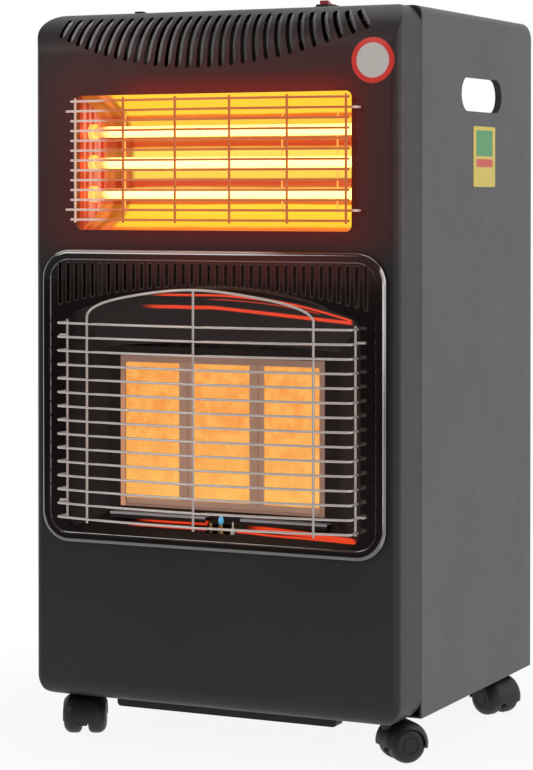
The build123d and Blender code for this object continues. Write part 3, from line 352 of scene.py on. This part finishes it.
louvres = 29
slot_half = 0.0022
low_centre, low_half_span, low_skew = -0.0136, 0.167, 0.011
high_centre, high_half_span, high_crowding = -0.0092, 0.1572, 0.06
arc_z, arc_rise = 0.666, 0.0332
top_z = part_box("front_panel")[1].z
slot_top_z = top_z - 0.0062
bend_r = 0.042
lip_r = 0.0019
lip_sunk = 0.0009
lip_steps = 12
end_margin = 0.03
lips = round_wire("louvre_lips", lip_r, 3)
for index in range(louvres):
    t = 2 * index / (louvres - 1) - 1
    low = Vector((low_centre + low_half_span * t + low_skew * t * t, arc_z + arc_rise * t * t))
    spread = (1 - high_crowding) * t + high_crowding * t ** 3
    high = Vector((high_centre + high_half_span * spread, slot_top_z))
    run = (high - low).normalized()
    beside_slot = Vector((run.y, -run.x)) * (slot_half + 0.62 * lip_r)
    strip = lips.splines.new("POLY")
    strip.points.add(lip_steps)
    for step, point in enumerate(strip.points):
        share = end_margin + (1 - 2 * end_margin) * step / lip_steps
        spot = low.lerp(high, share) + beside_slot
        rise = max(spot.y - (top_z - bend_r), 0.0)
        bend_depth = math.sqrt(bend_r ** 2 - rise ** 2)
        outward = Vector((0, -bend_depth, rise)) / bend_r
        skin = Vector((spot.x, front_y + bend_r - bend_depth, spot.y))
        point.co = (*(skin - outward * lip_sunk), 1.0)
        point.radius = min(1.0, 0.40 + 0.30 * min(step, lip_steps - step))
lip_paint = powder_coat("louvre_lip_coat", srgb(78, 74, 75), 0.20)
# Painted highlight: the lips are painted lighter towards the left.
painted_sheen = lip_paint.axis("X").between(0.06, -0.13)
lip_paint.set(Base_Color=lip_paint.mix(painted_sheen, lip_paint.colour, srgb(140, 136, 137)))
piece("louvre_lips", as_mesh(lips), lip_paint)

# ---------------------------------------------------------------- sides, top and back
# Folded sheets in one grey powder coat. Its colour is painted lighter than the front's, as
# painted light from the softbox: front and sides are lit and shaded copies of one paint. The
# side sheets carry lipped hand holes, the top is turned down at the back, and the cover pulls
# off.
side_paint = powder_coat("side_powder_coat", srgb(83, 84, 88))
dress(side_paint, "left_side_panel", "right_side_panel", "top_panel", "rear_cover")

# ---------------------------------------------------------------- floor tray and rail
# A folded tray in black paint that carries the bottle and the castors, with a black rail
# under its front edge. The folded bracket behind the louvres is only primed.
tray_paint = powder_coat("tray_black_paint", srgb(18, 18, 19))
dress(tray_paint, "base_tray", "base_rail")
bracket_paint = powder_coat("bracket_brown_primer", srgb(46, 34, 32))
dress(bracket_paint, "control_bracket")

# ---------------------------------------------------------------- zinc-plated steel
# The heat shield is a sheet of zinc-plated steel with a fine spangle, screwed between the
# burner and the bottle. The mixing tubes, gas rail, spindle and screws are plated as well.
zinc = Finish("zinc_plate", Metallic=0.9)
spangle = zinc.node("ShaderNodeTexVoronoi", {}, {"Vector": zinc.place, "Scale": 90.0}, "Color")
tone = zinc.node("ShaderNodeRGBToBW", {}, {"Color": spangle})
zinc.set(Base_Color=zinc.mix(tone, srgb(160, 162, 166), srgb(200, 202, 204)),
         Roughness=0.32 + 0.16 * tone)
dress(zinc, "heat_shield", "mixing_tubes", "gas_manifold", "valve_spindle", "cabinet_screws")

# ---------------------------------------------------------------- quartz heater trough
# A bent stainless trough behind the tubes. The hot coils' reflections in it are painted into
# its emission as yellow bands, parted by red ones where it sees between them. Its end plates
# carry a painted red glow.
tubes_low, tubes_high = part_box("quartz_tubes")
middle_tube_z = (tubes_low.z + tubes_high.z) / 2
reflected_low, reflected_high = 0.506, 0.645
waviness = 0.004
trough = Finish("polished_trough", Metallic=0.35)
brush = trough.noise(120.0, trough.stretched(0.25, 1.0, 6.0), 2.0)
trough.set(Base_Color=trough.mix(brush, srgb(62, 34, 20), srgb(84, 48, 28)),
           Roughness=0.34 + 0.16 * brush)
ripple = trough.noise(9.0, trough.stretched(1.0, 1.0, 5.0), 2.0)
height = trough.axis("Z") + waviness * ripple - waviness / 2
band = trough.node("ShaderNodeMapRange", {}, {"Value": height, "From Min": reflected_low,
                                              "From Max": reflected_high})
bands = trough.node("ShaderNodeValToRGB", {"stops": [
    (0.00, srgb(222, 76, 24)), (0.03, srgb(236, 100, 28)), (0.05, srgb(255, 206, 48)),
    (0.19, srgb(255, 224, 60)), (0.203, srgb(214, 92, 30)), (0.225, srgb(222, 104, 36)),
    (0.24, srgb(255, 204, 84)), (0.31, srgb(255, 196, 76)), (0.325, srgb(206, 62, 36)),
    (0.375, srgb(210, 62, 36)), (0.39, srgb(255, 216, 84)), (0.58, srgb(255, 230, 96)),
    (0.60, srgb(246, 180, 60)), (0.615, srgb(206, 56, 28)), (0.675, srgb(206, 56, 28)),
    (0.69, srgb(250, 190, 70)), (0.80, srgb(255, 206, 64)), (0.815, srgb(222, 80, 24)),
    (0.83, srgb(222, 80, 24)), (0.845, srgb(255, 216, 60)), (1.00, srgb(255, 208, 48))]},
                   {"Fac": band})
streaks = trough.noise(30.0, trough.stretched(0.12, 1.0, 4.0), 3.0)
bands = trough.mix(streaks.between(0.45, 0.75) * 0.15, bands, srgb(255, 206, 60))
cool_end = trough.axis("X").between(-0.114, -0.122)
stripes = trough.noise(70.0, trough.stretched(1.0, 0.2, 0.05), 1.0)
cool = trough.mix(stripes.between(0.38, 0.62), srgb(150, 30, 14), srgb(232, 104, 58))
bands = trough.mix(cool_end * 0.85, bands, cool)
# Painted reflection: only faces that look forward carry the bands.
inward = trough.normal("Y").between(0.05, -0.05)
trough.set(Emission_Color=trough.mix(inward, no_glow, bands), Emission_Strength=0.92)
dress(trough, "upper_reflector")

inner_face_x = 0.15105
# Painted glow on the plates' inner faces, in upright stripes and duller towards top and bottom.
end_plate = Finish("trough_end", Metallic=0.8, Roughness=0.34)
upright = end_plate.noise(160.0, end_plate.stretched(0.1, 1.0, 0.03), 1.0)
plate = end_plate.mix(upright.between(0.42, 0.58), srgb(186, 48, 26), srgb(240, 142, 112))
corner = abs(end_plate.axis("Z") - middle_tube_z).between(0.045, 0.062)
plate = end_plate.mix(corner * 0.6, plate, srgb(92, 34, 30))
inner = abs(end_plate.axis("X")).between(inner_face_x + 0.0002, inner_face_x)
end_plate.set(Base_Color=srgb(150, 90, 70), Emission_Strength=0.85,
              Emission_Color=end_plate.mix(inner, no_glow, plate))
dress(end_plate, "reflector_ends")

# ---------------------------------------------------------------- quartz tubes and coils
# Clear quartz tubes, each with a wound resistance coil that runs white hot over its working
# length and only red at its left end, held in ceramic caps.
# The glass carries a painted glow from its coil, red at the left end.
quartz = Finish("quartz", Roughness=0.06, IOR=1.46, Transmission_Weight=0.55)
around = quartz.noise(26.0, quartz.stretched(0.2, 1.0, 3.0), 2.0)
working = quartz.axis("X").between(-0.138, -0.126)
warm = quartz.mix(around, srgb(255, 218, 96), srgb(255, 234, 150))
quartz.set(Base_Color=(1.0, 0.90, 0.70, 1.0), Emission_Strength=0.80,
           Emission_Color=quartz.mix(working, srgb(232, 92, 40), warm))
dress(quartz, "quartz_tubes")

hot_coil = Finish("white_hot_coil", Roughness=0.6)
working = hot_coil.axis("X").between(-0.140, -0.126)
hot_coil.set(Base_Color=(1.0, 0.8, 0.4, 1.0), Emission_Strength=2.2,
             Emission_Color=hot_coil.mix(working, (0.75, 0.10, 0.02, 1), (1.0, 0.80, 0.36, 1)))
tubes = 3
tube_r = 0.0055
tube_y = (tubes_low.y + tubes_high.y) / 2
lowest_tube_z = tubes_low.z + tube_r
tube_pitch = (tubes_high.z - tubes_low.z - 2 * tube_r) / (tubes - 1)
coil_half = 0.150
coil_r = 0.0021
coil_wire_r = 0.00040
runs = 15
turns_a_run = 10
steps_a_turn = 10
coil_pitch = 2 * coil_half / (runs * turns_a_run)
windings = bmesh.new()


def edges_of(loop):
    """The edges of a loop that has just been made, each once and always in the same order."""
    return list(dict.fromkeys(edge for vert in loop["verts"] for edge in vert.link_edges))


def repeat(vector, count):
    """Lays copies of all that is wound so far side by side."""
    wound = windings.verts[:] + windings.edges[:] + windings.faces[:]
    for index in range(1, count):
        copy = bmesh.ops.duplicate(windings, geom=wound)["geom"]
        moved = [part for part in copy if isinstance(part, bmesh.types.BMVert)]
        bmesh.ops.translate(windings, verts=moved, vec=Vector(vector) * index)


upright_turn = Matrix.Rotation(math.radians(90), 4, "X")
centre = Vector((-coil_half, tube_y, lowest_tube_z))
start = Matrix.Translation(centre + Vector((0, 0, coil_r))) @ upright_turn
section = bmesh.ops.create_circle(windings, segments=6, radius=coil_wire_r, matrix=start)
bmesh.ops.spin(windings, geom=section["verts"] + edges_of(section), cent=centre, axis=(1, 0, 0),
               dvec=(coil_pitch / steps_a_turn, 0, 0), angle=2 * math.pi * turns_a_run,
               steps=turns_a_run * steps_a_turn, use_duplicate=False)
repeat((turns_a_run * coil_pitch, 0, 0), runs)
bmesh.ops.remove_doubles(windings, verts=windings.verts, dist=0.00002)
repeat((0, 0, tube_pitch), tubes)
bmesh.ops.recalc_face_normals(windings, faces=windings.faces)
coils = piece("heating_coils", windings, hot_coil)
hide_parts("heater_filaments")

cap_clay = Finish("cap_ceramic", Roughness=0.7)
speck = cap_clay.noise(300.0, cap_clay.place)
left_cap = cap_clay.axis("X").between(-0.140, -0.145)
cap_clay.set(Base_Color=cap_clay.mix(speck, srgb(232, 216, 186), srgb(250, 238, 210)),
             # Painted glow: the left caps carry a yellow glow in their emission.
             Emission_Color=cap_clay.mix(left_cap, no_glow, srgb(255, 200, 60)),
             Emission_Strength=0.75)
dress(cap_clay, "tube_caps")

# ---------------------------------------------------------------- tube supports
# Three bent steel wires stand behind the tubes and keep them from sagging. They carry a
# painted orange glow and show as light ticks in the dark gaps.
support_stations = (-0.117, 0.057, 0.116)
straight_y, hook_y = -0.1300, -0.1285
foot_z, lower_bend_z, upper_bend_z, head_z = 0.5252, 0.5330, 0.6165, 0.6243
support = round_wire("tube_supports", 0.0008, 2)
for x in support_stations:
    route = [(x, hook_y, foot_z), (x, straight_y, lower_bend_z),
             (x, straight_y, upper_bend_z), (x, hook_y, head_z)]
    hook = support.splines.new("POLY")
    hook.points.add(len(route) - 1)
    for point, place in zip(hook.points, route):
        point.co = (*place, 1.0)
# Painted glow on the support wires, mottled orange.
support_wire_glow = Finish("hot_support_wire", Metallic=0.6, Roughness=0.5)
glow_mottle = support_wire_glow.noise(240.0, support_wire_glow.place)
support_wire_glow.set(Base_Color=srgb(180, 120, 80), Emission_Strength=0.9,
             Emission_Color=support_wire_glow.mix(glow_mottle, srgb(250, 150, 70), srgb(255, 196, 100)))
piece("tube_supports", as_mesh(support), support_wire_glow)

# ---------------------------------------------------------------- wire guards
# Steel wire, spot-welded where it crosses and nickel-plated after welding. The upper guard
# is coloured browner in front of the tubes, with a painted glow there and a painted pinkish
# highlight at its left end.


def plated_wire(name):
    """Nickel plate with the faint cloudiness of drawn wire, and how cloudy it is."""
    plate = Finish(name, Metallic=0.45)
    cloud = plate.noise(45.0, plate.place)
    plate.set(Roughness=0.26 + 0.12 * cloud)
    return plate, cloud


nickel, cloud = plated_wire("nickel_plated_wire")
nickel.set(Base_Color=nickel.mix(cloud, srgb(206, 196, 192), srgb(226, 218, 214)))
dress(nickel, "lower_guard")

upper_wire, cloud = plated_wire("heat_tinted_wire")
across = upper_wire.axis("X")
# Painted glow in front of the tubes, and a painted highlight at the left end.
hot_part = across.between(-0.122, -0.100) * across.between(0.156, 0.152)
painted_left_highlight = across.between(-0.160, -0.152) * (1.0 - hot_part)
plain = upper_wire.mix(cloud, srgb(214, 200, 194), srgb(234, 220, 214))
brown = upper_wire.mix(cloud, srgb(176, 98, 62), srgb(206, 128, 84))
shine = upper_wire.mix(hot_part, no_glow, (0.22, 0.045, 0.012, 1))
shine = upper_wire.mix(painted_left_highlight * 0.5, shine, (0.42, 0.22, 0.17, 1))
upper_wire.set(Base_Color=upper_wire.mix(hot_part, plain, brown), Emission_Color=shine,
             Emission_Strength=1.0)
dress(upper_wire, "upper_guard")

# ---------------------------------------------------------------- lower window frame
# A deep-drawn frame in gloss black enamel, with a rolled rim, a row of vent slots with
# pressed collars and an arched opening. A painted highlight runs along the rim's shoulder at
# its top and right, and a painted red glow from the tubes lies across its top.
rim_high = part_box("lower_bezel")[1]
rim_width = 0.0050
enamel = Finish("gloss_black_enamel", Specular_IOR_Level=0.8, Coat_Weight=1.0,
                Coat_Roughness=0.04, Coat_IOR=1.8)
across = enamel.axis("X")
upward = enamel.axis("Z")
ripple = enamel.noise(14.0, enamel.place)
# Painted glow: the tubes' red glow painted across the frame's top.
painted_tube_glow = abs(across - 0.03).between(0.20, 0.04) * upward.between(0.440, 0.480)
forward = 0.0 - enamel.normal("Y")
shoulder = forward.between(0.25, 0.50) * forward.between(0.97, 0.85)
top_run = upward.between(rim_high.z - rim_width - fade, rim_high.z - rim_width)
top_run = top_run * across.between(0.09, 0.04)
side_run = across.between(rim_high.x - rim_width - fade, rim_high.x - rim_width)
side_run = side_run * (0.20 + 0.80 * upward.between(0.330, 0.430))
# Painted highlight: a pale line painted along the rim's shoulder.
painted_rim_highlight = shoulder * top_run.at_least(side_run) * 0.9
black = enamel.mix(ripple, srgb(18, 10, 9), srgb(26, 15, 13))
enamel.set(Base_Color=enamel.mix(painted_rim_highlight, black, srgb(212, 204, 200)),
           Emission_Color=enamel.mix(painted_tube_glow, no_glow, (0.050, 0.004, 0.001, 1)),
           Emission_Strength=1.0, Roughness=0.10 + 0.06 * ripple)
enamel.bump(ripple, 0.0004, 0.4)
dress(enamel, "lower_bezel")

vents = 37
vent_pitch = 0.0092
vent_low_z, vent_drop, vent_high_z = 0.455, 0.0205, 0.476
collar_r, vent_r = 0.0025, 0.0018
collar_height = 0.0006
collar_y = front_y - 0.0034
collars = bmesh.new()
middle_vent = (vents - 1) / 2
for index in range(vents):
    share = (index - middle_vent) / middle_vent
    foot = vent_low_z - vent_drop * share ** 2 + vent_r
    head = vent_high_z - vent_r
    spot = Vector((vent_pitch * (index - middle_vent), collar_y, foot))
    loops = []
    for radius in (collar_r, vent_r):
        circle = bmesh.ops.create_circle(collars, segments=16, radius=radius,
                                         matrix=Matrix.Translation(spot) @ upright_turn)
        for vert in circle["verts"]:
            if vert.co.z > foot + 1e-6:
                vert.co.z += head - foot
        loops += edges_of(circle)
    made = bmesh.ops.bridge_loops(collars, edges=loops)
    raised = bmesh.ops.extrude_face_region(collars, geom=made["faces"])
    lifted = [part for part in raised["geom"] if isinstance(part, bmesh.types.BMVert)]
    bmesh.ops.translate(collars, verts=lifted, vec=(0, -collar_height, 0))
bmesh.ops.recalc_face_normals(collars, faces=collars.faces)
# The collars are painted lighter than the frame's enamel, as a painted highlight on the pressed
# edges.
thin_enamel = Finish("thin_enamel", Specular_IOR_Level=0.8, Coat_Weight=0.6)
painted_sheen = thin_enamel.noise(160.0, thin_enamel.stretched(1.0, 1.0, 0.4))
thin_enamel.set(Base_Color=thin_enamel.mix(painted_sheen, srgb(52, 38, 34), srgb(96, 80, 74)),
                Roughness=0.22 + 0.1 * painted_sheen)
rims = piece("slot_collars", collars, thin_enamel)
rounding = rims.modifiers.new("rounding", "BEVEL")
rounding.width = 0.00022
rounding.segments = 2

# ---------------------------------------------------------------- burner throat
# A tapered throat of black enamelled sheet from the arched window back to the burner. Along
# its roof and its foot the plaques' reflections in the enamel are painted into its emission
# as thin orange streaks. Its rear rim is coloured lighter and carries a painted glow,
# strongest at the left.
throat = Finish("throat_enamel", Specular_IOR_Level=0.35)
soot = throat.noise(22.0, throat.place, 4.0)
across = throat.axis("X")
upward = throat.axis("Z")
faces_down = throat.normal("Z").between(0.02, -0.02)
rear_half, rear_foot_z, rear_roof_z = 0.1060, 0.2364, 0.3783
rear_y = front_y + 0.0175
rear_rim = throat.normal("Y").between(-0.90, -0.95)
rear_rim = rear_rim * throat.axis("Y").between(rear_y, rear_y + 0.0005)
rim_distance = (abs(across) - rear_half).at_least((rear_foot_z - upward) * 2.4)
rim_distance = rim_distance.at_least(upward - rear_roof_z)
rear_rim = rear_rim * rim_distance.between(0.0058, 0.0052)
dark_coat = throat.mix(soot, srgb(24, 12, 10), srgb(40, 24, 21))
throat.set(Base_Color=throat.mix(rear_rim, dark_coat, srgb(150, 118, 104)),
           Roughness=0.34 + 0.2 * soot)
right = across.at_least(0.0)
waver = 0.0012 * throat.noise(30.0, throat.place, 1.0) - 0.0006


def streak(line, half, start, end):
    """A soft thin band of painted reflection that follows a line on the throat, between two
    stations.
    """
    inside = abs(upward - line - waver).between(half, half * 0.35)
    inside = inside * across.between(start - 0.012, start + 0.012)
    return inside * across.between(end, end - 0.004)


# Painted reflections of the plaques, as streaks along the roof and the foot.
roof_high = streak(0.4455 - right * right, 0.0016, -0.060, 0.1495)
roof_middle = streak(0.4415 - right * right * 0.9, 0.0010, 0.000, 0.115)
roof_low = streak(0.4335 - right * 0.08, 0.0024, -0.070, 0.1490)
foot_left = streak(0.2222, 0.0026, -0.082, -0.010)
foot_right = streak(0.2232 - right * 0.055, 0.0030, 0.040, 0.152)
foot_line = streak(0.2170 - right * 0.024, 0.0013, -0.090, 0.152)
roof = roof_high.at_least(roof_low).at_least(roof_middle * 0.5) * faces_down
foot = foot_left.at_least(foot_right).at_least(foot_line) * (1.0 - faces_down)
left_rim = rear_rim * across.between(-0.105, -0.107) * upward.between(0.38, 0.33)
rim_glow = throat.mix(rear_rim, no_glow, (0.10, 0.055, 0.036, 1))
rim_glow = throat.mix(left_rim, rim_glow, (0.42, 0.17, 0.08, 1))
throat.set(Emission_Color=throat.mix(roof.at_least(foot), rim_glow, srgb(238, 66, 30)),
           Emission_Strength=0.95)
dress(throat, "burner_hood")

# ---------------------------------------------------------------- burner
# Three pierced ceramic plaques glow orange behind a stainless frame that has heat-tinted
# brown, with two bright steel deflectors along its foot. The frame's front faces carry a
# painted glow from the plaques, and the deflectors' undersides are painted dark as painted
# shade.
cell = 0.0023
plaque_glow = Finish("glowing_plaque", Roughness=0.85)
columns = plaque_glow.axis("X") / cell
rows = plaque_glow.axis("Z") / cell
hole = abs((columns * math.pi).sine()) * abs((rows * math.pi).sine())
drift = plaque_glow.noise(70.0, plaque_glow.place, 5.0, 0.7)
grain = plaque_glow.noise(420.0, plaque_glow.place, 2.0)
hottest = plaque_glow.axis("Z").between(0.330, 0.245)
ember = plaque_glow.mix(drift.between(0.34, 0.66), srgb(244, 150, 58), srgb(255, 188, 88))
ember = plaque_glow.mix(grain.between(0.52, 0.72) * 0.5, ember, srgb(255, 214, 130))
ember = plaque_glow.mix(hottest * 0.35, ember, srgb(255, 214, 104))
ember = plaque_glow.mix(hole.between(0.40, 0.95) * 0.6, ember, srgb(222, 108, 36))
plaque_glow.set(Base_Color=srgb(120, 84, 60), Emission_Color=ember, Emission_Strength=0.93)
dress(plaque_glow, "plaque_left", "plaque_centre", "plaque_right")

plaque_face_y = front_y + 0.024
tinted = Finish("heat_tinted_stainless", Metallic=0.5)
stain = tinted.noise(30.0, tinted.place, 4.0)
# Painted glow from the plaques on the faces in front of them.
lit_by_plaque = tinted.axis("Y").between(plaque_face_y + fade, plaque_face_y)
tinted.set(Base_Color=tinted.mix(stain, srgb(166, 130, 112), srgb(200, 166, 146)),
           Roughness=0.40 + 0.2 * stain, Emission_Strength=1.0,
           Emission_Color=tinted.mix(lit_by_plaque, no_glow, (0.12, 0.062, 0.042, 1)))
dress(tinted, "burner_frame", "burner_box")

fold_z = 0.2270
bright_steel = Finish("bright_deflector", Metallic=0.5)
polish = bright_steel.noise(90.0, bright_steel.stretched(0.1, 1.0, 1.0), 2.0)
polished_top = bright_steel.mix(polish, srgb(186, 182, 190), srgb(222, 218, 224))
# Painted shade: the underside below the fold is painted dark.
shaded_underside = bright_steel.axis("Z").between(fold_z - 0.0006, fold_z)
bright_steel.set(Base_Color=bright_steel.mix(shaded_underside, srgb(54, 44, 42), polished_top),
                 Roughness=0.22 + 0.14 * polish)
dress(bright_steel, "hood_lips")

# ---------------------------------------------------------------- pilot and gas fittings
# The tap body is die-cast alloy. Its plug, the pilot and the flame sensor are turned brass,
# and the pipe between them is drawn aluminium. The pilot burns with a small blue flame, and
# its spark needle sits in a white glazed sleeve.
alloy = Finish("die_cast_alloy", Metallic=0.8)
mottle = alloy.noise(120.0, alloy.place)
alloy.set(Base_Color=alloy.mix(mottle, srgb(96, 92, 90), srgb(122, 118, 116)),
          Roughness=0.45 + 0.14 * mottle)
dress(alloy, "gas_valve")

brass = Finish("machined_brass", Metallic=1.0)
turned = brass.noise(200.0, brass.stretched(1.0, 1.0, 8.0))
brass.set(Base_Color=brass.mix(turned, srgb(170, 136, 78), srgb(202, 168, 102)),
          Roughness=0.24 + 0.16 * turned)
dress(brass, "valve_plug", "pilot_burner", "thermocouple")

glaze = Finish("white_glaze", Coat_Weight=0.4)
craze = glaze.noise(300.0, glaze.place)
glaze.set(Base_Color=glaze.mix(craze, srgb(226, 214, 204), srgb(242, 232, 224)),
          Roughness=0.3 + 0.1 * craze)
dress(glaze, "spark_electrode")

flame_foot = Vector((0.005, front_y + 0.013, 0.2224))
flame_r = 0.0026
flame_height = 0.0095
flame = bmesh.new()
drop = bmesh.ops.create_uvsphere(flame, u_segments=20, v_segments=14, radius=flame_r)
for vert in drop["verts"]:
    share = (vert.co.z / flame_r + 1) / 2
    vert.co.xy *= (1.0 - 0.62 * share * share) * 1.15
    vert.co.z = share * flame_height
bmesh.ops.translate(flame, verts=flame.verts, vec=flame_foot)
blue = Finish("pilot_flame", Roughness=0.5, Alpha=0.92)
tip = blue.axis("Z").between(flame_foot.z, 0.2300)
blue.set(Base_Color=srgb(40, 70, 90), Emission_Strength=0.85,
         Emission_Color=blue.mix(tip, srgb(64, 158, 204), srgb(112, 186, 226)))
smooth_flame = piece("pilot_flame", flame, blue)
for face in smooth_flame.data.polygons:
    face.use_smooth = True

pipe_metal = Finish("drawn_aluminium_pipe", Metallic=1.0)
drawn = pipe_metal.noise(150.0, pipe_metal.stretched(1.0, 1.0, 0.1))
pipe_metal.set(Base_Color=pipe_metal.mix(drawn, srgb(190, 192, 196), srgb(214, 216, 219)),
               Roughness=0.30 + 0.14 * drawn)
dress(pipe_metal, "gas_pipes")

# ---------------------------------------------------------------- black mouldings
# Console, switch body, knob, tilt cut-out, strain relief, terminals and castors are moulded
# in black plastic with a fine spark texture. The castor plates are coated to match, and the
# wheels turn on zinc-plated pins.


def moulded(name, colour, roughness):
    """Moulded plastic with a fine texture."""
    plastic = Finish(name, Specular_IOR_Level=0.45)
    grain = plastic.noise(1400.0, plastic.place, 1.0)
    haze = plastic.noise(25.0, plastic.place)
    lighter = tuple(c * 1.5 for c in colour[:3]) + (1.0,)
    plastic.set(Base_Color=plastic.mix(haze, colour, lighter),
                Roughness=roughness + 0.12 * haze)
    plastic.bump(grain, 0.00008, 0.4)
    return plastic


black_plastic = moulded("black_plastic", srgb(18, 18, 20), 0.42)
dress(black_plastic, "control_console", "rocker_housing", "gas_knob", "tip_over_switch",
      "terminal_block", "cord_gland", "castor_mounts")

castor_plastic = moulded("castor_nylon", srgb(20, 20, 22), 0.44)
for corner in ("front_left", "front_right", "rear_left", "rear_right"):
    dress(castor_plastic, "hood_" + corner, "wheel_a_" + corner, "wheel_b_" + corner)
    dress(zinc, "axle_" + corner)

# ---------------------------------------------------------------- rocker button
# The red button of the heater's switch, moulded in one piece and glossy from its mould.
# It snaps into the black housing and rocks on two stubs.
red = Finish("red_button", Coat_Weight=0.4, Coat_Roughness=0.1)
tint = red.noise(80.0, red.place)
red.set(Base_Color=red.mix(tint, srgb(186, 16, 20), srgb(214, 34, 34)),
        Roughness=0.25 + 0.1 * tint)
dress(red, "rocker_button")

# ---------------------------------------------------------------- stickers
# A plain round plate with a red rim on the front, and on the right side a yellow vinyl label
# printed with plain blocks of colour. Both are stuck on.
rim_inner_r, rim_outer_r = 0.0162, 0.0168
badge_low, badge_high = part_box("round_badge")
badge = Finish("round_plate", Coat_Weight=0.3)
flat = badge.node("ShaderNodeVectorMath", {"operation": "MULTIPLY"},
                  {0: badge.place, 1: (1.0, 0.0, 1.0)})
badge_centre = (badge_low + badge_high) / 2
from_centre = badge.node("ShaderNodeVectorMath", {"operation": "DISTANCE"},
                         {0: flat, 1: (badge_centre.x, 0.0, badge_centre.z)}, "Value")
rim = from_centre.between(rim_inner_r, rim_outer_r)
speckle = badge.noise(500.0, badge.place)
pale = badge.mix(speckle, srgb(206, 198, 192), srgb(220, 213, 207))
badge.set(Base_Color=badge.mix(rim, pale, srgb(230, 50, 40)), Roughness=0.3 + 0.1 * speckle)
dress(badge, "round_badge")

label_low, label_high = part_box("side_label")
label_y = (label_low.y + label_high.y) / 2
block_half = 0.023
green_block, red_block = (0.582, 0.608), (0.571, 0.579)
label = Finish("printed_label", Coat_Weight=0.2)
along = label.axis("Y")
up = label.axis("Z")


def block(low, high):
    """A plain printed block with crisp edges, as wide as the others, between two heights."""
    soft = 0.0004
    inside = along.between(label_y - block_half - soft, label_y - block_half + soft)
    inside = inside * along.between(label_y + block_half + soft, label_y + block_half - soft)
    return inside * up.between(low - soft, low + soft) * up.between(high + soft, high - soft)


fibre = label.noise(60.0, label.place)
ink = label.mix(fibre, srgb(226, 198, 70), srgb(240, 214, 88))
ink = label.mix(block(*green_block), ink, srgb(70, 160, 92))
ink = label.mix(block(*red_block), ink, srgb(220, 76, 58))
label.set(Base_Color=ink, Roughness=0.42 + 0.1 * fibre)
dress(label, "side_label")
